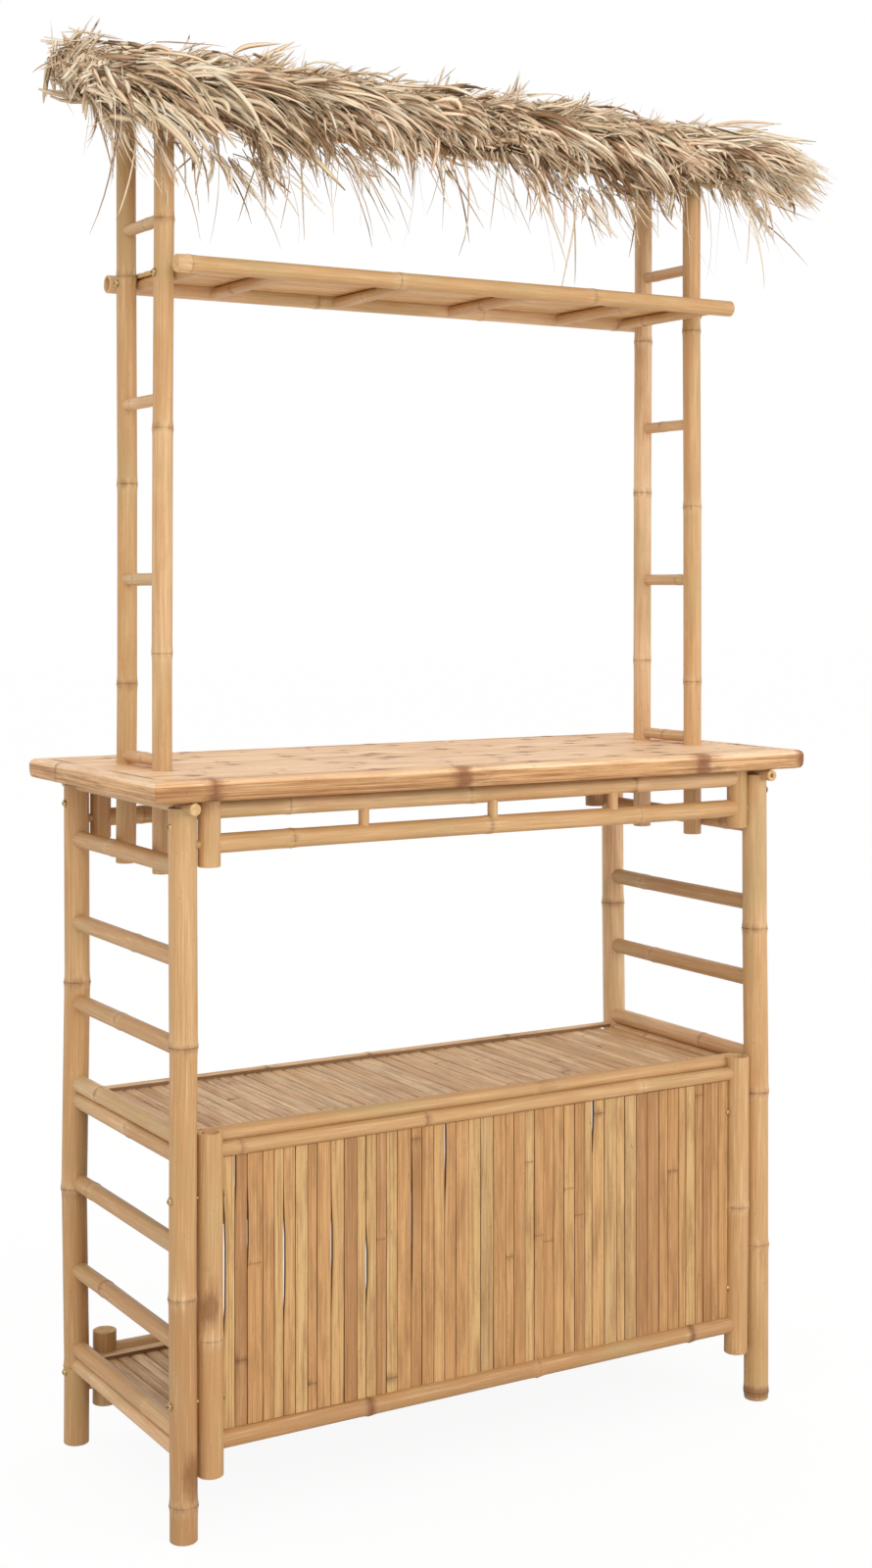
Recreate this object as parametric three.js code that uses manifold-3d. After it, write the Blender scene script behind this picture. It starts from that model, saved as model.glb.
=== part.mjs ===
// A bamboo bar hut: two end frames, a counter, a slatted skirt with two shelves behind it,
// four uprights with a high shelf, and a thatched roof that leans to the front.
// Millimetres, +Z up. The counter runs along X, the guests stand at -Y, the floor is Z = 0.
import * as THREE from "three";
import { mergeVertices } from "three/addons/utils/BufferGeometryUtils.js";
import Module from "manifold-3d";

const wasm = await Module();
wasm.setup();

// Fits that every joint shares
const clearance = 0.3;
const overrun = 6;
const glueDepth = 0.5;
const weldDistance = 1e-3;
const culmSides = 12;
const twigSides = 8;

// Joints between the slats of one board
const jointWidth = 2.4;
const jointDepth = 2;

// Counter
const counterHeight = 1000;
const counterLength = 1080;
const counterDepth = 459;
const counterOffsetY = -3;
const edgeHeight = 29;
const edgeWidth = 24;
const boardThickness = 14;
const battenWidth = 30;
const battenCount = 3;
const battenSpacingShare = 0.25;

// End frames, whose legs stand inside the edge of the counter
const legInsetX = 58.5;
const legInsetY = 40.5;
const legRadius = 18.5;
const socketDepth = 14;
const topRailRadius = 8.5;
const topRailInset = 1.5;
const boreDepth = 30;
const culmWall = 4.5;
const rungRadius = 12;
const apronRungDrop = 117;
const shelfRungRadius = 12;
const shelfRungDrop = 5;
// Two rungs stand between the middle shelf and the counter, and two between the shelves. Each
// is placed by its share of the way up.
const highRungShare = 0.516;
const middleRungShare = 0.278;
const lowRungShare = 0.674;
const footRungShare = 0.345;

// Front and rear apron, which hang from the counter
const apronPostRadius = 15.5;
const apronPostGap = 3.5;
const apronPostLength = 89;
const apronRailRadius = 13;
const apronRailSpacing = 46;
const apronPegRadius = 6;
const pegDepth = 6;
const spindleRadius = 7.5;
const spindleCount = 3;
const spindleSpacingShare = 0.237;

// Slatted skirt, whose rails lie level with the two decks behind it
const skirtPostRadius = 17.8;
const skirtPostGap = 2.4;
const skirtPostRise = 23;
const skirtPostDrop = 43;
const skirtTopRailDrop = 2;
const skirtTopRailRadius = 10;
const skirtBottomRailRise = 1;
const skirtBottomRailRadius = 12.5;
const tenonDepth = 8;
const skirtSlatThickness = 6;
const skirtGap = 2;
// The slats stand in groups from left to right, and light shows between one and the next.
const skirtGroups = [1, 1, 3, 4, 3, 4, 3, 28];
const skirtBattenRadius = 7;
const skirtBattenShares = { upper: 0.765, lower: 0.239 };

// Bolts of the skirt, under the middle deck and over the bottom deck
const upperBoltDrop = 61;
const lowerBoltRise = 58;
const boltRadius = 3;
const boltHeadRadius = 6;
const boltHeadThickness = 3.5;
const boltSides = 6;

// Shelves behind the skirt
const middleShelfHeight = 508;
const bottomShelfHeight = 121;
const shelfSlatThickness = 6;
const shelfSlatWidth = 21.8;
const shelfBattenCount = 2;
const shelfBattenSpacingShare = 0.66;
const shelfBattenHeight = 12;
const shelfBattenWidth = 18;
const shelfRearOverhang = 5;
const shelfRailRadius = 12;
const shelfRailLap = 5;
const rearTrimHeight = 8;
const rearTrimWidth = 16;

// Rear stretcher at the bottom shelf
const stretcherPostRadius = 17.5;
const stretcherPostGap = 8;
const stretcherPostRise = 35;
const stretcherPostLength = 107;
const stretcherRailRadius = 12.5;
const stretcherUpperRise = 2;
const stretcherRailSpacing = 44;

// Uprights, which pass through the counter, and their rungs
const uprightRadius = 14;
const uprightSpanY = 131;
const uprightOffsetY = 2;
const uprightFoot = 141;
const ladderRungRadius = 8.5;
const ladderSocketDepth = 8;
const counterRungRise = 12;
// Places of the other rungs, as shares of the way from the counter to the front purlin
const ladderRungShares = { first: 0.291, second: 0.566, third: 0.84 };

// High shelf, which reaches past the uprights to both sides
const highRailRise = 684;
const highFrontRailRadius = 12;
const highFrontReach = 76.5;
const highRearRailRadius = 13;
const highRearReach = 32.5;
const highRailOverhang = 15;
const crossBarRadius = 10;
const crossBarDrop = 4;
const innerBarCount = 4;
const innerBarSpacingShare = 0.2355;
const highStripWidth = 23;
const highStripThickness = 6;

// Roof. Its overhangs to the left and right count from the uprights.
const purlinRadius = 11;
const purlinLeftOverhang = 75;
const purlinRightOverhang = 65;
const frontPurlinRise = 215;
const roofRise = 45;
const matThickness = 30;
const matLeftOverhang = 117;
const matRightOverhang = 75;
const matFrontOverhang = 34;
const matRearOverhang = 28;
const valanceThickness = 14;
const valanceHeight = 94;

// Strands of the thatch
const strandFoot = 10;
const topStrandColumns = 34;
const topStrandRows = 6;
const topStrandLength = 170;
const frontStrandColumns = 34;
const frontStrandRows = 6;
const frontStrandLength = 135;
const combWave = 290;
// Each share is taken of a strand's way: along the hut, along the bed, and away from the bed.
const topCombShares = [0.9, 0.1, 0.22];
const frontCombShares = [0.64, -0.62, 0.42];
const droopShare = 0.42;
const swayShare = 0.12;
const shortestShare = 0.62;
const bendShare = 0.6;
// How wide a strand is at its foot and at its bend, as shares of the triangle that it grows on
const footWidthShare = 0.66;
const bendWidthShare = 0.52;
const scatterSteps = [12.9898, 78.233, 43758.5453];

// Places worked out from the sizes above
const sides = { left: -1, right: 1 };
const legX = counterLength / 2 - legInsetX;
const legY = counterDepth / 2 - legInsetY;
const frontY = -legY;
const rearY = legY;
const counterUnderside = counterHeight - edgeHeight;
const topRailHeight = counterUnderside - clearance - topRailRadius;
const topRailReach = counterDepth / 2 - topRailInset;
const apronPostX = legX - legRadius - apronPostGap - apronPostRadius;
const apronPostTop = counterUnderside - clearance;
const apronUpperHeight = apronPostTop - apronRailRadius;
const apronLowerHeight = apronUpperHeight - apronRailSpacing;
const skirtPostX = legX - legRadius - skirtPostGap - skirtPostRadius;
const skirtPostBottom = bottomShelfHeight - skirtPostDrop;
const skirtPostTop = middleShelfHeight + skirtPostRise;
const skirtTopRailHeight = middleShelfHeight - skirtTopRailDrop;
const skirtBottomRailHeight = bottomShelfHeight + skirtBottomRailRise;
const skirtSlatBottom = skirtBottomRailHeight + skirtBottomRailRadius + clearance;
const skirtSlatTop = skirtTopRailHeight - skirtTopRailRadius - clearance;
const boltHeights = {
  upper: middleShelfHeight - upperBoltDrop,
  lower: bottomShelfHeight + lowerBoltRise,
};
const stretcherPostX = legX - legRadius - stretcherPostGap - stretcherPostRadius;
const stretcherPostTop = bottomShelfHeight + stretcherPostRise;
const stretcherPostBottom = stretcherPostTop - stretcherPostLength;
const stretcherUpperHeight = bottomShelfHeight + stretcherUpperRise;
const stretcherLowerHeight = stretcherUpperHeight - stretcherRailSpacing;
const uprightX = legX - Math.max(topRailRadius, rungRadius) - uprightRadius - clearance;
const uprightFrontY = uprightOffsetY - uprightSpanY / 2;
const uprightRearY = uprightOffsetY + uprightSpanY / 2;
const uprightBottom = counterHeight - uprightFoot;
const highRailHeight = counterHeight + highRailRise;
const highFrontRailY = uprightFrontY - highFrontReach;
const highRearRailY = uprightRearY + highRearReach;
const frontPurlinHeight = highRailHeight + frontPurlinRise;
const rearPurlinHeight = frontPurlinHeight + roofRise;

// The place at a share of the way from one to another
function between(from, to, share) {
  return from + share * (to - from);
}

// Rungs that stand alone between the two legs of an end frame
const loneRungHeights = {
  apron_rung: counterHeight - apronRungDrop,
  rung_high: between(middleShelfHeight, counterHeight, highRungShare),
  rung_middle: between(middleShelfHeight, counterHeight, middleRungShare),
  rung_low: between(bottomShelfHeight, middleShelfHeight, lowRungShare),
  rung_foot: between(bottomShelfHeight, middleShelfHeight, footRungShare),
};

// Rungs between the two uprights of each end
const ladderRungHeights = {
  counter: counterHeight + counterRungRise,
  first: between(counterHeight, frontPurlinHeight, ladderRungShares.first),
  second: between(counterHeight, frontPurlinHeight, ladderRungShares.second),
  third: between(counterHeight, frontPurlinHeight, ladderRungShares.third),
};

// Solids

function solidFrom(geometry) {
  const bare = geometry.clone();
  bare.deleteAttribute("normal");
  bare.deleteAttribute("uv");
  const welded = mergeVertices(bare, weldDistance);
  const corners = welded.index.array;
  const kept = [];
  for (let i = 0; i < corners.length; i += 3) {
    const [a, b, c] = [corners[i], corners[i + 1], corners[i + 2]];
    if (a !== b && b !== c && c !== a) kept.push(a, b, c);
  }
  return new wasm.Manifold(
    new wasm.Mesh({
      numProp: 3,
      vertProperties: welded.attributes.position.array,
      triVerts: new Uint32Array(kept),
    }),
  );
}

// Places at an even spacing, with their middle at zero
function evenly(count, spacing) {
  return Array.from({ length: count }, (_, i) => (i - (count - 1) / 2) * spacing);
}

function joined(solids) {
  return solids.reduce((whole, next) => whole.add(next));
}

function cut(solid, tools) {
  return tools.reduce((rest, tool) => rest.subtract(tool), solid);
}

// A culm as a lathed rod along Y, with a blind bore at each end where one is asked for.
function culmGeometry(radius, length, count, bored) {
  if (!bored) return new THREE.CylinderGeometry(radius, radius, length, count);
  const half = length / 2;
  const bore = radius - culmWall;
  const profile = [
    [0, boreDepth - half],
    [bore, boreDepth - half],
    [bore, -half],
    [radius, -half],
    [radius, half],
    [bore, half],
    [bore, half - boreDepth],
    [0, half - boreDepth],
  ];
  return new THREE.LatheGeometry(
    profile.map(([x, y]) => new THREE.Vector2(x, y)),
    count,
  );
}

// Culms along each axis, from one coordinate to another, with the axis at the two others.
function culmX(radius, from, to, y, z, count = culmSides, bored = false) {
  const geometry = culmGeometry(radius, to - from, count, bored).rotateZ(-Math.PI / 2);
  return solidFrom(geometry.translate((from + to) / 2, y, z));
}

function culmY(radius, from, to, x, z, count = culmSides, bored = false) {
  const geometry = culmGeometry(radius, to - from, count, bored);
  return solidFrom(geometry.translate(x, (from + to) / 2, z));
}

function culmZ(radius, from, to, x, y, count = culmSides) {
  const geometry = culmGeometry(radius, to - from, count, false).rotateX(Math.PI / 2);
  return solidFrom(geometry.translate(x, y, (from + to) / 2));
}

function block(x0, x1, y0, y1, z0, z1) {
  const geometry = new THREE.BoxGeometry(x1 - x0, y1 - y0, z1 - z0);
  return solidFrom(geometry.translate((x0 + x1) / 2, (y0 + y1) / 2, (z0 + z1) / 2));
}

// A flat piece with the outline in plan, from one height to another.
function plate(outline, z0, z1) {
  const shape = new THREE.Shape(outline.map(([x, y]) => new THREE.Vector2(x, y)));
  const geometry = new THREE.ExtrudeGeometry(shape, { depth: z1 - z0, bevelEnabled: false });
  return solidFrom(geometry.translate(0, 0, z0));
}

// Slats side by side as one board: its outline has a notch at each joint. X runs across the
// slats, Y from the board's back to its face, and the slats are as long as asked.
function slattedBoard(width, thickness, count, length) {
  const pitch = width / count;
  const outline = [[0, 0], [width, 0], [width, thickness]];
  for (let i = count - 1; i > 0; i--) {
    const joint = i * pitch;
    outline.push([joint + jointWidth / 2, thickness]);
    outline.push([joint, thickness - jointDepth]);
    outline.push([joint - jointWidth / 2, thickness]);
  }
  outline.push([0, thickness]);
  const shape = new THREE.Shape(outline.map(([x, y]) => new THREE.Vector2(x, y)));
  return new THREE.ExtrudeGeometry(shape, { depth: length, bevelEnabled: false });
}

// Scene graph

const bamboo = { color: 0xd2a769, roughness: 0.5, metalness: 0 };
const slatBamboo = { color: 0xc39960, roughness: 0.6, metalness: 0 };
const boardBamboo = { color: 0xd9b173, roughness: 0.5, metalness: 0 };
const brass = { color: 0xc9a44c, roughness: 0.35, metalness: 1 };
const straw = { color: 0xc0a47c, roughness: 0.95, metalness: 0 };

// The mesh stands at the place given, and its geometry is measured from there.
function piece(name, solid, [x, y, z], look) {
  const { vertProperties, triVerts } = solid.getMesh();
  const indexed = new THREE.BufferGeometry();
  indexed.setAttribute("position", new THREE.BufferAttribute(vertProperties, 3));
  indexed.setIndex(new THREE.BufferAttribute(triVerts, 1));
  const geometry = indexed.toNonIndexed().translate(-x, -y, -z);
  geometry.computeVertexNormals();
  const mesh = new THREE.Mesh(geometry, new THREE.MeshStandardMaterial(look));
  mesh.name = name;
  mesh.position.set(x, y, z);
  return mesh;
}

function assembly(...members) {
  return new THREE.Group().add(...members);
}

// End frames

// Each shelf hangs on a pair of rungs, one nailed on the other.
const shelfHeights = { middle_shelf: middleShelfHeight, bottom_shelf: bottomShelfHeight };

function rungPair(deckHeight) {
  const lower = deckHeight - shelfRungDrop;
  return [lower, lower + 2 * shelfRungRadius - glueDepth];
}

function loneRung(x, height, grown) {
  const reach = legY - legRadius + socketDepth + grown;
  return culmY(rungRadius + grown, -reach, reach, x, height, twigSides);
}

function shelfRung(x, height, grown) {
  const reach = legY - legRadius + socketDepth + grown;
  return culmY(shelfRungRadius + grown, -reach, reach, x, height);
}

function rungTools(x) {
  const lone = Object.values(loneRungHeights).map((z) => loneRung(x, z, clearance));
  const paired = Object.values(shelfHeights)
    .flatMap(rungPair)
    .map((z) => shelfRung(x, z, clearance));
  return [...lone, ...paired];
}

function topRail(x, grown, bored) {
  const reach = topRailReach + grown;
  return culmY(topRailRadius + grown, -reach, reach, x, topRailHeight, culmSides, bored);
}

// The pegs of the apron and stretcher rails end in blind holes of the legs.
function pegHoles(side, y) {
  const heights = y < 0 ? [apronLowerHeight] : [apronLowerHeight, stretcherLowerHeight];
  return heights.map((z) => pegSolid(side, y, z, clearance));
}

function pegSolid(side, y, height, grown) {
  const inner = side * (legX - legRadius - overrun);
  const outer = side * (legX - legRadius + pegDepth + grown);
  const [from, to] = [Math.min(inner, outer), Math.max(inner, outer)];
  return culmX(apronPegRadius + grown, from, to, y, height, twigSides);
}

function boltTools(side) {
  return Object.values(boltHeights).map((z) => {
    const middle = side * legX;
    const reach = legRadius + skirtPostGap + 2 * skirtPostRadius + overrun;
    return culmX(boltRadius + clearance, middle - reach, middle + reach, frontY, z, boltSides);
  });
}

function leg(side, y) {
  const x = side * legX;
  const culm = culmZ(legRadius, 0, topRailHeight, x, y);
  const holes = y < 0 ? boltTools(side) : [];
  const seat = topRail(x, clearance, false);
  return cut(culm, [seat, ...rungTools(x), ...pegHoles(side, y), ...holes]);
}

// The battens of a shelf deck run from one end frame to the other.
function shelfBattens(deckHeight, grown) {
  const top = deckHeight - shelfSlatThickness;
  const reach = legX - shelfRungRadius + pegDepth + grown;
  return evenly(shelfBattenCount, shelfBattenSpacingShare * (rearY - frontY)).map((y) =>
    block(
      -reach,
      reach,
      y - shelfBattenWidth / 2 - grown,
      y + shelfBattenWidth / 2 + grown,
      top - shelfBattenHeight - grown,
      top + grown,
    ),
  );
}

function endFrame(word) {
  const side = sides[word];
  const x = side * legX;
  const meshes = [
    piece(`leg_front_${word}`, leg(side, frontY), [x, frontY, 0], bamboo),
    piece(`leg_rear_${word}`, leg(side, rearY), [x, rearY, 0], bamboo),
  ];
  meshes.push(piece(`top_rail_${word}`, topRail(x, 0, true), [x, 0, topRailHeight], bamboo));
  for (const [name, height] of Object.entries(loneRungHeights)) {
    meshes.push(piece(`${name}_${word}`, loneRung(x, height, 0), [x, 0, height], bamboo));
  }
  for (const [name, deckHeight] of Object.entries(shelfHeights)) {
    const heights = rungPair(deckHeight);
    const pair = joined(heights.map((z) => shelfRung(x, z, 0)));
    const rungs = cut(pair, shelfBattens(deckHeight, clearance));
    meshes.push(piece(`${name}_rungs_${word}`, rungs, [x, 0, heights[0]], bamboo));
  }
  return assembly(...meshes);
}

// Aprons and rear stretcher: two short posts, two rails and the pegs of the lower rail

function pegs(postX, y, height) {
  const reach = legX - legRadius + pegDepth;
  return [
    culmX(apronPegRadius, -reach, -postX, y, height, twigSides),
    culmX(apronPegRadius, postX, reach, y, height, twigSides),
  ];
}

function postFrame(posts, rails, y) {
  return joined([
    culmZ(posts.radius, posts.bottom, posts.top, -posts.x, y),
    culmZ(posts.radius, posts.bottom, posts.top, posts.x, y),
    ...rails.heights.map((z) => culmX(rails.radius, -posts.x, posts.x, y, z)),
    ...pegs(posts.x, y, Math.min(...rails.heights)),
  ]);
}

function apron(y) {
  const posts = {
    x: apronPostX,
    radius: apronPostRadius,
    bottom: apronPostTop - apronPostLength,
    top: apronPostTop,
  };
  const rails = { radius: apronRailRadius, heights: [apronUpperHeight, apronLowerHeight] };
  const spindles = evenly(spindleCount, spindleSpacingShare * 2 * apronPostX).map((x) =>
    culmZ(spindleRadius, apronLowerHeight, apronUpperHeight, x, y, twigSides),
  );
  return joined([postFrame(posts, rails, y), ...spindles]);
}

function stretcher() {
  const posts = {
    x: stretcherPostX,
    radius: stretcherPostRadius,
    bottom: stretcherPostBottom,
    top: stretcherPostTop,
  };
  const heights = [stretcherUpperHeight, stretcherLowerHeight];
  return postFrame(posts, { radius: stretcherRailRadius, heights }, rearY);
}

// Skirt

function skirtPost(side, grown) {
  const radius = skirtPostRadius + grown;
  return culmZ(radius, skirtPostBottom - grown, skirtPostTop + grown, side * skirtPostX, frontY);
}

function skirtRail(height, radius, grown) {
  const reach = skirtPostX - skirtPostRadius + tenonDepth + grown;
  return culmX(radius + grown, -reach, reach, frontY, height);
}

function skirtBattens(grown) {
  const y = frontY + skirtSlatThickness / 2 + skirtBattenRadius - glueDepth;
  const reach = skirtPostX - skirtPostRadius + tenonDepth + grown;
  return Object.values(skirtBattenShares).map((share) => {
    const z = between(skirtSlatBottom, skirtSlatTop, share);
    return culmX(skirtBattenRadius + grown, -reach, reach, y, z, twigSides);
  });
}

function skirtSlats() {
  const width = 2 * (skirtPostX - skirtPostRadius - clearance);
  const slatCount = skirtGroups.reduce((sum, count) => sum + count);
  const pitch = (width - skirtGap * (skirtGroups.length - 1)) / slatCount;
  const slatLength = skirtSlatTop - skirtSlatBottom;
  let right = -width / 2 - skirtGap;
  return skirtGroups.map((count) => {
    const board = slattedBoard(count * pitch, skirtSlatThickness, count, slatLength);
    right += skirtGap + count * pitch;
    board.rotateZ(Math.PI).translate(right, frontY + skirtSlatThickness / 2, skirtSlatBottom);
    return solidFrom(board);
  });
}

function bolt(side, height) {
  const head = side * (legX + legRadius + clearance);
  const nut = side * (skirtPostX - skirtPostRadius - clearance);
  const span = (radius, a, b) =>
    culmX(radius, Math.min(a, b), Math.max(a, b), frontY, height, boltSides);
  return joined([
    span(boltHeadRadius, head, head + side * boltHeadThickness),
    span(boltRadius, head + side * glueDepth, nut - side * glueDepth),
    span(boltHeadRadius, nut, nut - side * boltHeadThickness),
  ]);
}

function skirt() {
  const rails = {
    top: [skirtTopRailHeight, skirtTopRailRadius],
    bottom: [skirtBottomRailHeight, skirtBottomRailRadius],
  };
  const railTools = Object.values(rails).map(([z, r]) => skirtRail(z, r, clearance));
  const meshes = [];
  for (const [word, side] of Object.entries(sides)) {
    const tools = [...railTools, ...skirtBattens(clearance), ...boltTools(side)];
    const post = cut(skirtPost(side, 0), tools);
    const place = [side * skirtPostX, frontY, skirtPostBottom];
    meshes.push(piece(`skirt_post_${word}`, post, place, bamboo));
    for (const [level, z] of Object.entries(boltHeights)) {
      const place = [side * legX, frontY, z];
      meshes.push(piece(`skirt_bolt_${level}_${word}`, bolt(side, z), place, brass));
    }
  }
  for (const [word, [z, r]] of Object.entries(rails)) {
    meshes.push(piece(`skirt_rail_${word}`, skirtRail(z, r, 0), [0, frontY, z], bamboo));
  }
  const nuts = Object.values(sides).flatMap((side) =>
    Object.values(boltHeights).map((z) => nutRoom(side, z)),
  );
  const panel = cut(joined([...skirtBattens(0), ...skirtSlats()]), nuts);
  meshes.push(piece("skirt_slats", panel, [0, frontY, skirtBottomRailHeight], slatBamboo));
  return assembly(...meshes);
}

// Room for a nut in the edge of the slat panel
function nutRoom(side, height) {
  const face = skirtPostX - skirtPostRadius;
  const inner = side * (face - boltHeadThickness - 2 * clearance);
  const outer = side * (face + overrun);
  const [from, to] = [Math.min(inner, outer), Math.max(inner, outer)];
  return culmX(boltHeadRadius + clearance, from, to, frontY, height, boltSides);
}

// Shelves behind the skirt

function rungCutters(deckHeight) {
  return Object.values(sides).flatMap((side) =>
    rungPair(deckHeight).map((z) => shelfRung(side * legX, z, clearance)),
  );
}

function legCutters() {
  return Object.values(sides).flatMap((side) =>
    [frontY, rearY].map((y) =>
      culmZ(legRadius + clearance, -overrun, counterUnderside, side * legX, y),
    ),
  );
}

function postCutters() {
  return Object.values(sides).map((side) => skirtPost(side, clearance));
}

// Slats from front to back, nailed on two battens, with a trim strip over their rear ends.
function deck(deckHeight, frontEdge, rearEdge) {
  const width = 2 * (legX - shelfRungRadius - clearance);
  const count = Math.round(width / shelfSlatWidth);
  const under = deckHeight - shelfSlatThickness - glueDepth;
  const trimEdge = rearEdge - rearTrimWidth;
  const thickness = deckHeight - under;
  const slats = slattedBoard(width, thickness, count, trimEdge + glueDepth - frontEdge);
  slats.rotateX(Math.PI / 2).translate(-width / 2, trimEdge + glueDepth, under);
  const trimTop = deckHeight + rearTrimHeight;
  const trim = block(-width / 2, width / 2, trimEdge, rearEdge, under, trimTop);
  const boards = cut(solidFrom(slats).add(trim), [
    ...rungCutters(deckHeight),
    ...legCutters(),
    ...postCutters(),
  ]);
  return joined([boards, ...shelfBattens(deckHeight, 0)]);
}

// The rail over the front ends of the middle deck leans on the top rail of the skirt.
function shelfFrontRail() {
  const height = middleShelfHeight + clearance + shelfRailRadius;
  const apart = skirtTopRailRadius + shelfRailRadius + clearance;
  const rise = height - skirtTopRailHeight;
  const y = frontY + Math.sqrt(Math.max(apart * apart - rise * rise, 0));
  const reach = skirtPostX + shelfRailLap;
  const rail = cut(culmX(shelfRailRadius, -reach, reach, y, height), postCutters());
  return piece("middle_shelf_front_rail", rail, [0, y, height], bamboo);
}

function shelves() {
  const middleFront = frontY + skirtTopRailRadius + clearance;
  const middleRear = rearY + shelfRearOverhang;
  const middle = deck(middleShelfHeight, middleFront, middleRear);
  const bottomFront = frontY + skirtBottomRailRadius + clearance;
  const bottomRear = rearY - stretcherRailRadius - clearance;
  const stretcherPosts = Object.values(sides).map((side) => {
    const [z0, z1] = [stretcherPostBottom - clearance, stretcherPostTop + clearance];
    return culmZ(stretcherPostRadius + clearance, z0, z1, side * stretcherPostX, rearY);
  });
  const bottom = cut(deck(bottomShelfHeight, bottomFront, bottomRear), stretcherPosts);
  return assembly(
    piece("middle_shelf_deck", middle, [0, 0, middleShelfHeight], slatBamboo),
    shelfFrontRail(),
    piece("bottom_shelf_deck", bottom, [0, 0, bottomShelfHeight], slatBamboo),
    piece("rear_stretcher", stretcher(), [0, rearY, stretcherLowerHeight], bamboo),
  );
}

// Counter

// The edge strips are mitred, so each is a trapezium in plan. Its turn is in quarter turns.
function edgeStrip(length, offset) {
  const [half, inner] = [length / 2 - clearance / 2, length / 2 - edgeWidth - clearance / 2];
  const outline = [
    [-half, -offset],
    [half, -offset],
    [inner, -offset + edgeWidth],
    [-inner, -offset + edgeWidth],
  ];
  return plate(outline, counterUnderside, counterHeight);
}

function counterStrips() {
  const quarter = Math.PI / 2;
  const strips = {
    front: [counterLength, counterDepth / 2, 0],
    right: [counterDepth, counterLength / 2, quarter],
    rear: [counterLength, counterDepth / 2, 2 * quarter],
    left: [counterDepth, counterLength / 2, 3 * quarter],
  };
  return Object.entries(strips).map(([word, [length, offset, turn]]) => {
    const mesh = piece(`counter_edge_${word}`, edgeStrip(length, offset), [0, 0, 0], boardBamboo);
    mesh.rotation.z = turn;
    mesh.position.y = counterOffsetY;
    return mesh;
  });
}

function uprightCutters() {
  return Object.values(sides).flatMap((side) =>
    [uprightFrontY, uprightRearY].map((y) =>
      culmZ(uprightRadius + clearance, uprightBottom, frontPurlinHeight, side * uprightX, y),
    ),
  );
}

function counterBoard() {
  const reachX = counterLength / 2 - edgeWidth - clearance;
  const reachY = counterDepth / 2 - edgeWidth - clearance;
  const [y0, y1] = [counterOffsetY - reachY, counterOffsetY + reachY];
  const under = counterHeight - boardThickness;
  const board = block(-reachX, reachX, y0, y1, under, counterHeight);
  const inner = evenly(battenCount, battenSpacingShare * counterLength);
  const battens = [-legX, ...inner, legX].map((x) => {
    const [x0, x1] = [x - battenWidth / 2, x + battenWidth / 2];
    return block(x0, x1, y0, y1, counterUnderside, under + glueDepth);
  });
  return cut(joined([board, ...battens]), uprightCutters());
}

function counter() {
  const board = piece("counter_board", counterBoard(), [0, 0, counterUnderside], boardBamboo);
  return assembly(board, ...counterStrips());
}

// Uprights with their rungs

function ladderRung(x, height, grown) {
  const inset = uprightRadius - ladderSocketDepth - grown;
  const radius = ladderRungRadius + grown;
  return culmY(radius, uprightFrontY + inset, uprightRearY - inset, x, height, twigSides);
}

function purlin(y, height, grown) {
  const from = -uprightX - purlinLeftOverhang - grown;
  const to = uprightX + purlinRightOverhang + grown;
  return culmX(purlinRadius + grown, from, to, y, height);
}

function upright(x, y, top) {
  const culm = culmZ(uprightRadius, uprightBottom, top, x, y);
  const rungs = Object.values(ladderRungHeights).map((z) => ladderRung(x, z, clearance));
  return cut(culm, [purlin(y, top, clearance), ...rungs]);
}

function ladder(word) {
  const x = sides[word] * uprightX;
  const front = upright(x, uprightFrontY, frontPurlinHeight);
  const rear = upright(x, uprightRearY, rearPurlinHeight);
  const meshes = [
    piece(`upright_front_${word}`, front, [x, uprightFrontY, uprightBottom], bamboo),
    piece(`upright_rear_${word}`, rear, [x, uprightRearY, uprightBottom], bamboo),
  ];
  for (const [level, z] of Object.entries(ladderRungHeights)) {
    const place = [x, uprightOffsetY, z];
    meshes.push(piece(`ladder_rung_${level}_${word}`, ladderRung(x, z, 0), place, bamboo));
  }
  return assembly(...meshes);
}

// High shelf

function crossBarXs() {
  const end = uprightX - uprightRadius - crossBarRadius - clearance;
  const inner = evenly(innerBarCount, innerBarSpacingShare * 2 * end);
  return [-end, ...inner, end];
}

function crossBars(grown) {
  const z = highRailHeight - crossBarDrop;
  const [from, to] = [highFrontRailY - grown, highRearRailY + grown];
  return crossBarXs().map((x) => culmY(crossBarRadius + grown, from, to, x, z, twigSides));
}

function highStrips() {
  const reach = uprightX - uprightRadius - clearance;
  const from = highFrontRailY + highFrontRailRadius + clearance;
  const to = highRearRailY - highRearRailRadius - clearance;
  const count = Math.round((to - from) / highStripWidth);
  const under = highRailHeight - crossBarDrop + crossBarRadius - glueDepth;
  const strips = slattedBoard(to - from, highStripThickness, count, 2 * reach);
  strips.rotateX(Math.PI / 2).rotateZ(Math.PI / 2);
  return solidFrom(strips.translate(-reach, from, under));
}

function highShelf() {
  const reach = uprightX + highRailOverhang;
  const rails = {
    front: [highFrontRailRadius, highFrontRailY],
    rear: [highRearRailRadius, highRearRailY],
  };
  const meshes = Object.entries(rails).map(([word, [radius, y]]) => {
    const hollow = word === "rear";
    const rail = culmX(radius, -reach, reach, y, highRailHeight, culmSides, hollow);
    const place = [0, y, highRailHeight];
    return piece(`high_shelf_rail_${word}`, cut(rail, crossBars(clearance)), place, bamboo);
  });
  const deckSolid = joined([...crossBars(0), highStrips()]);
  meshes.push(piece("high_shelf_deck", deckSolid, [0, 0, highRailHeight], slatBamboo));
  return assembly(...meshes);
}

// Roof

// A number from 0 to 1 that looks random and depends only on the two counts.
function scatter(i, j) {
  const wave = Math.sin(i * scatterSteps[0] + j * scatterSteps[1]) * scatterSteps[2];
  return wave - Math.floor(wave);
}

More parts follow.
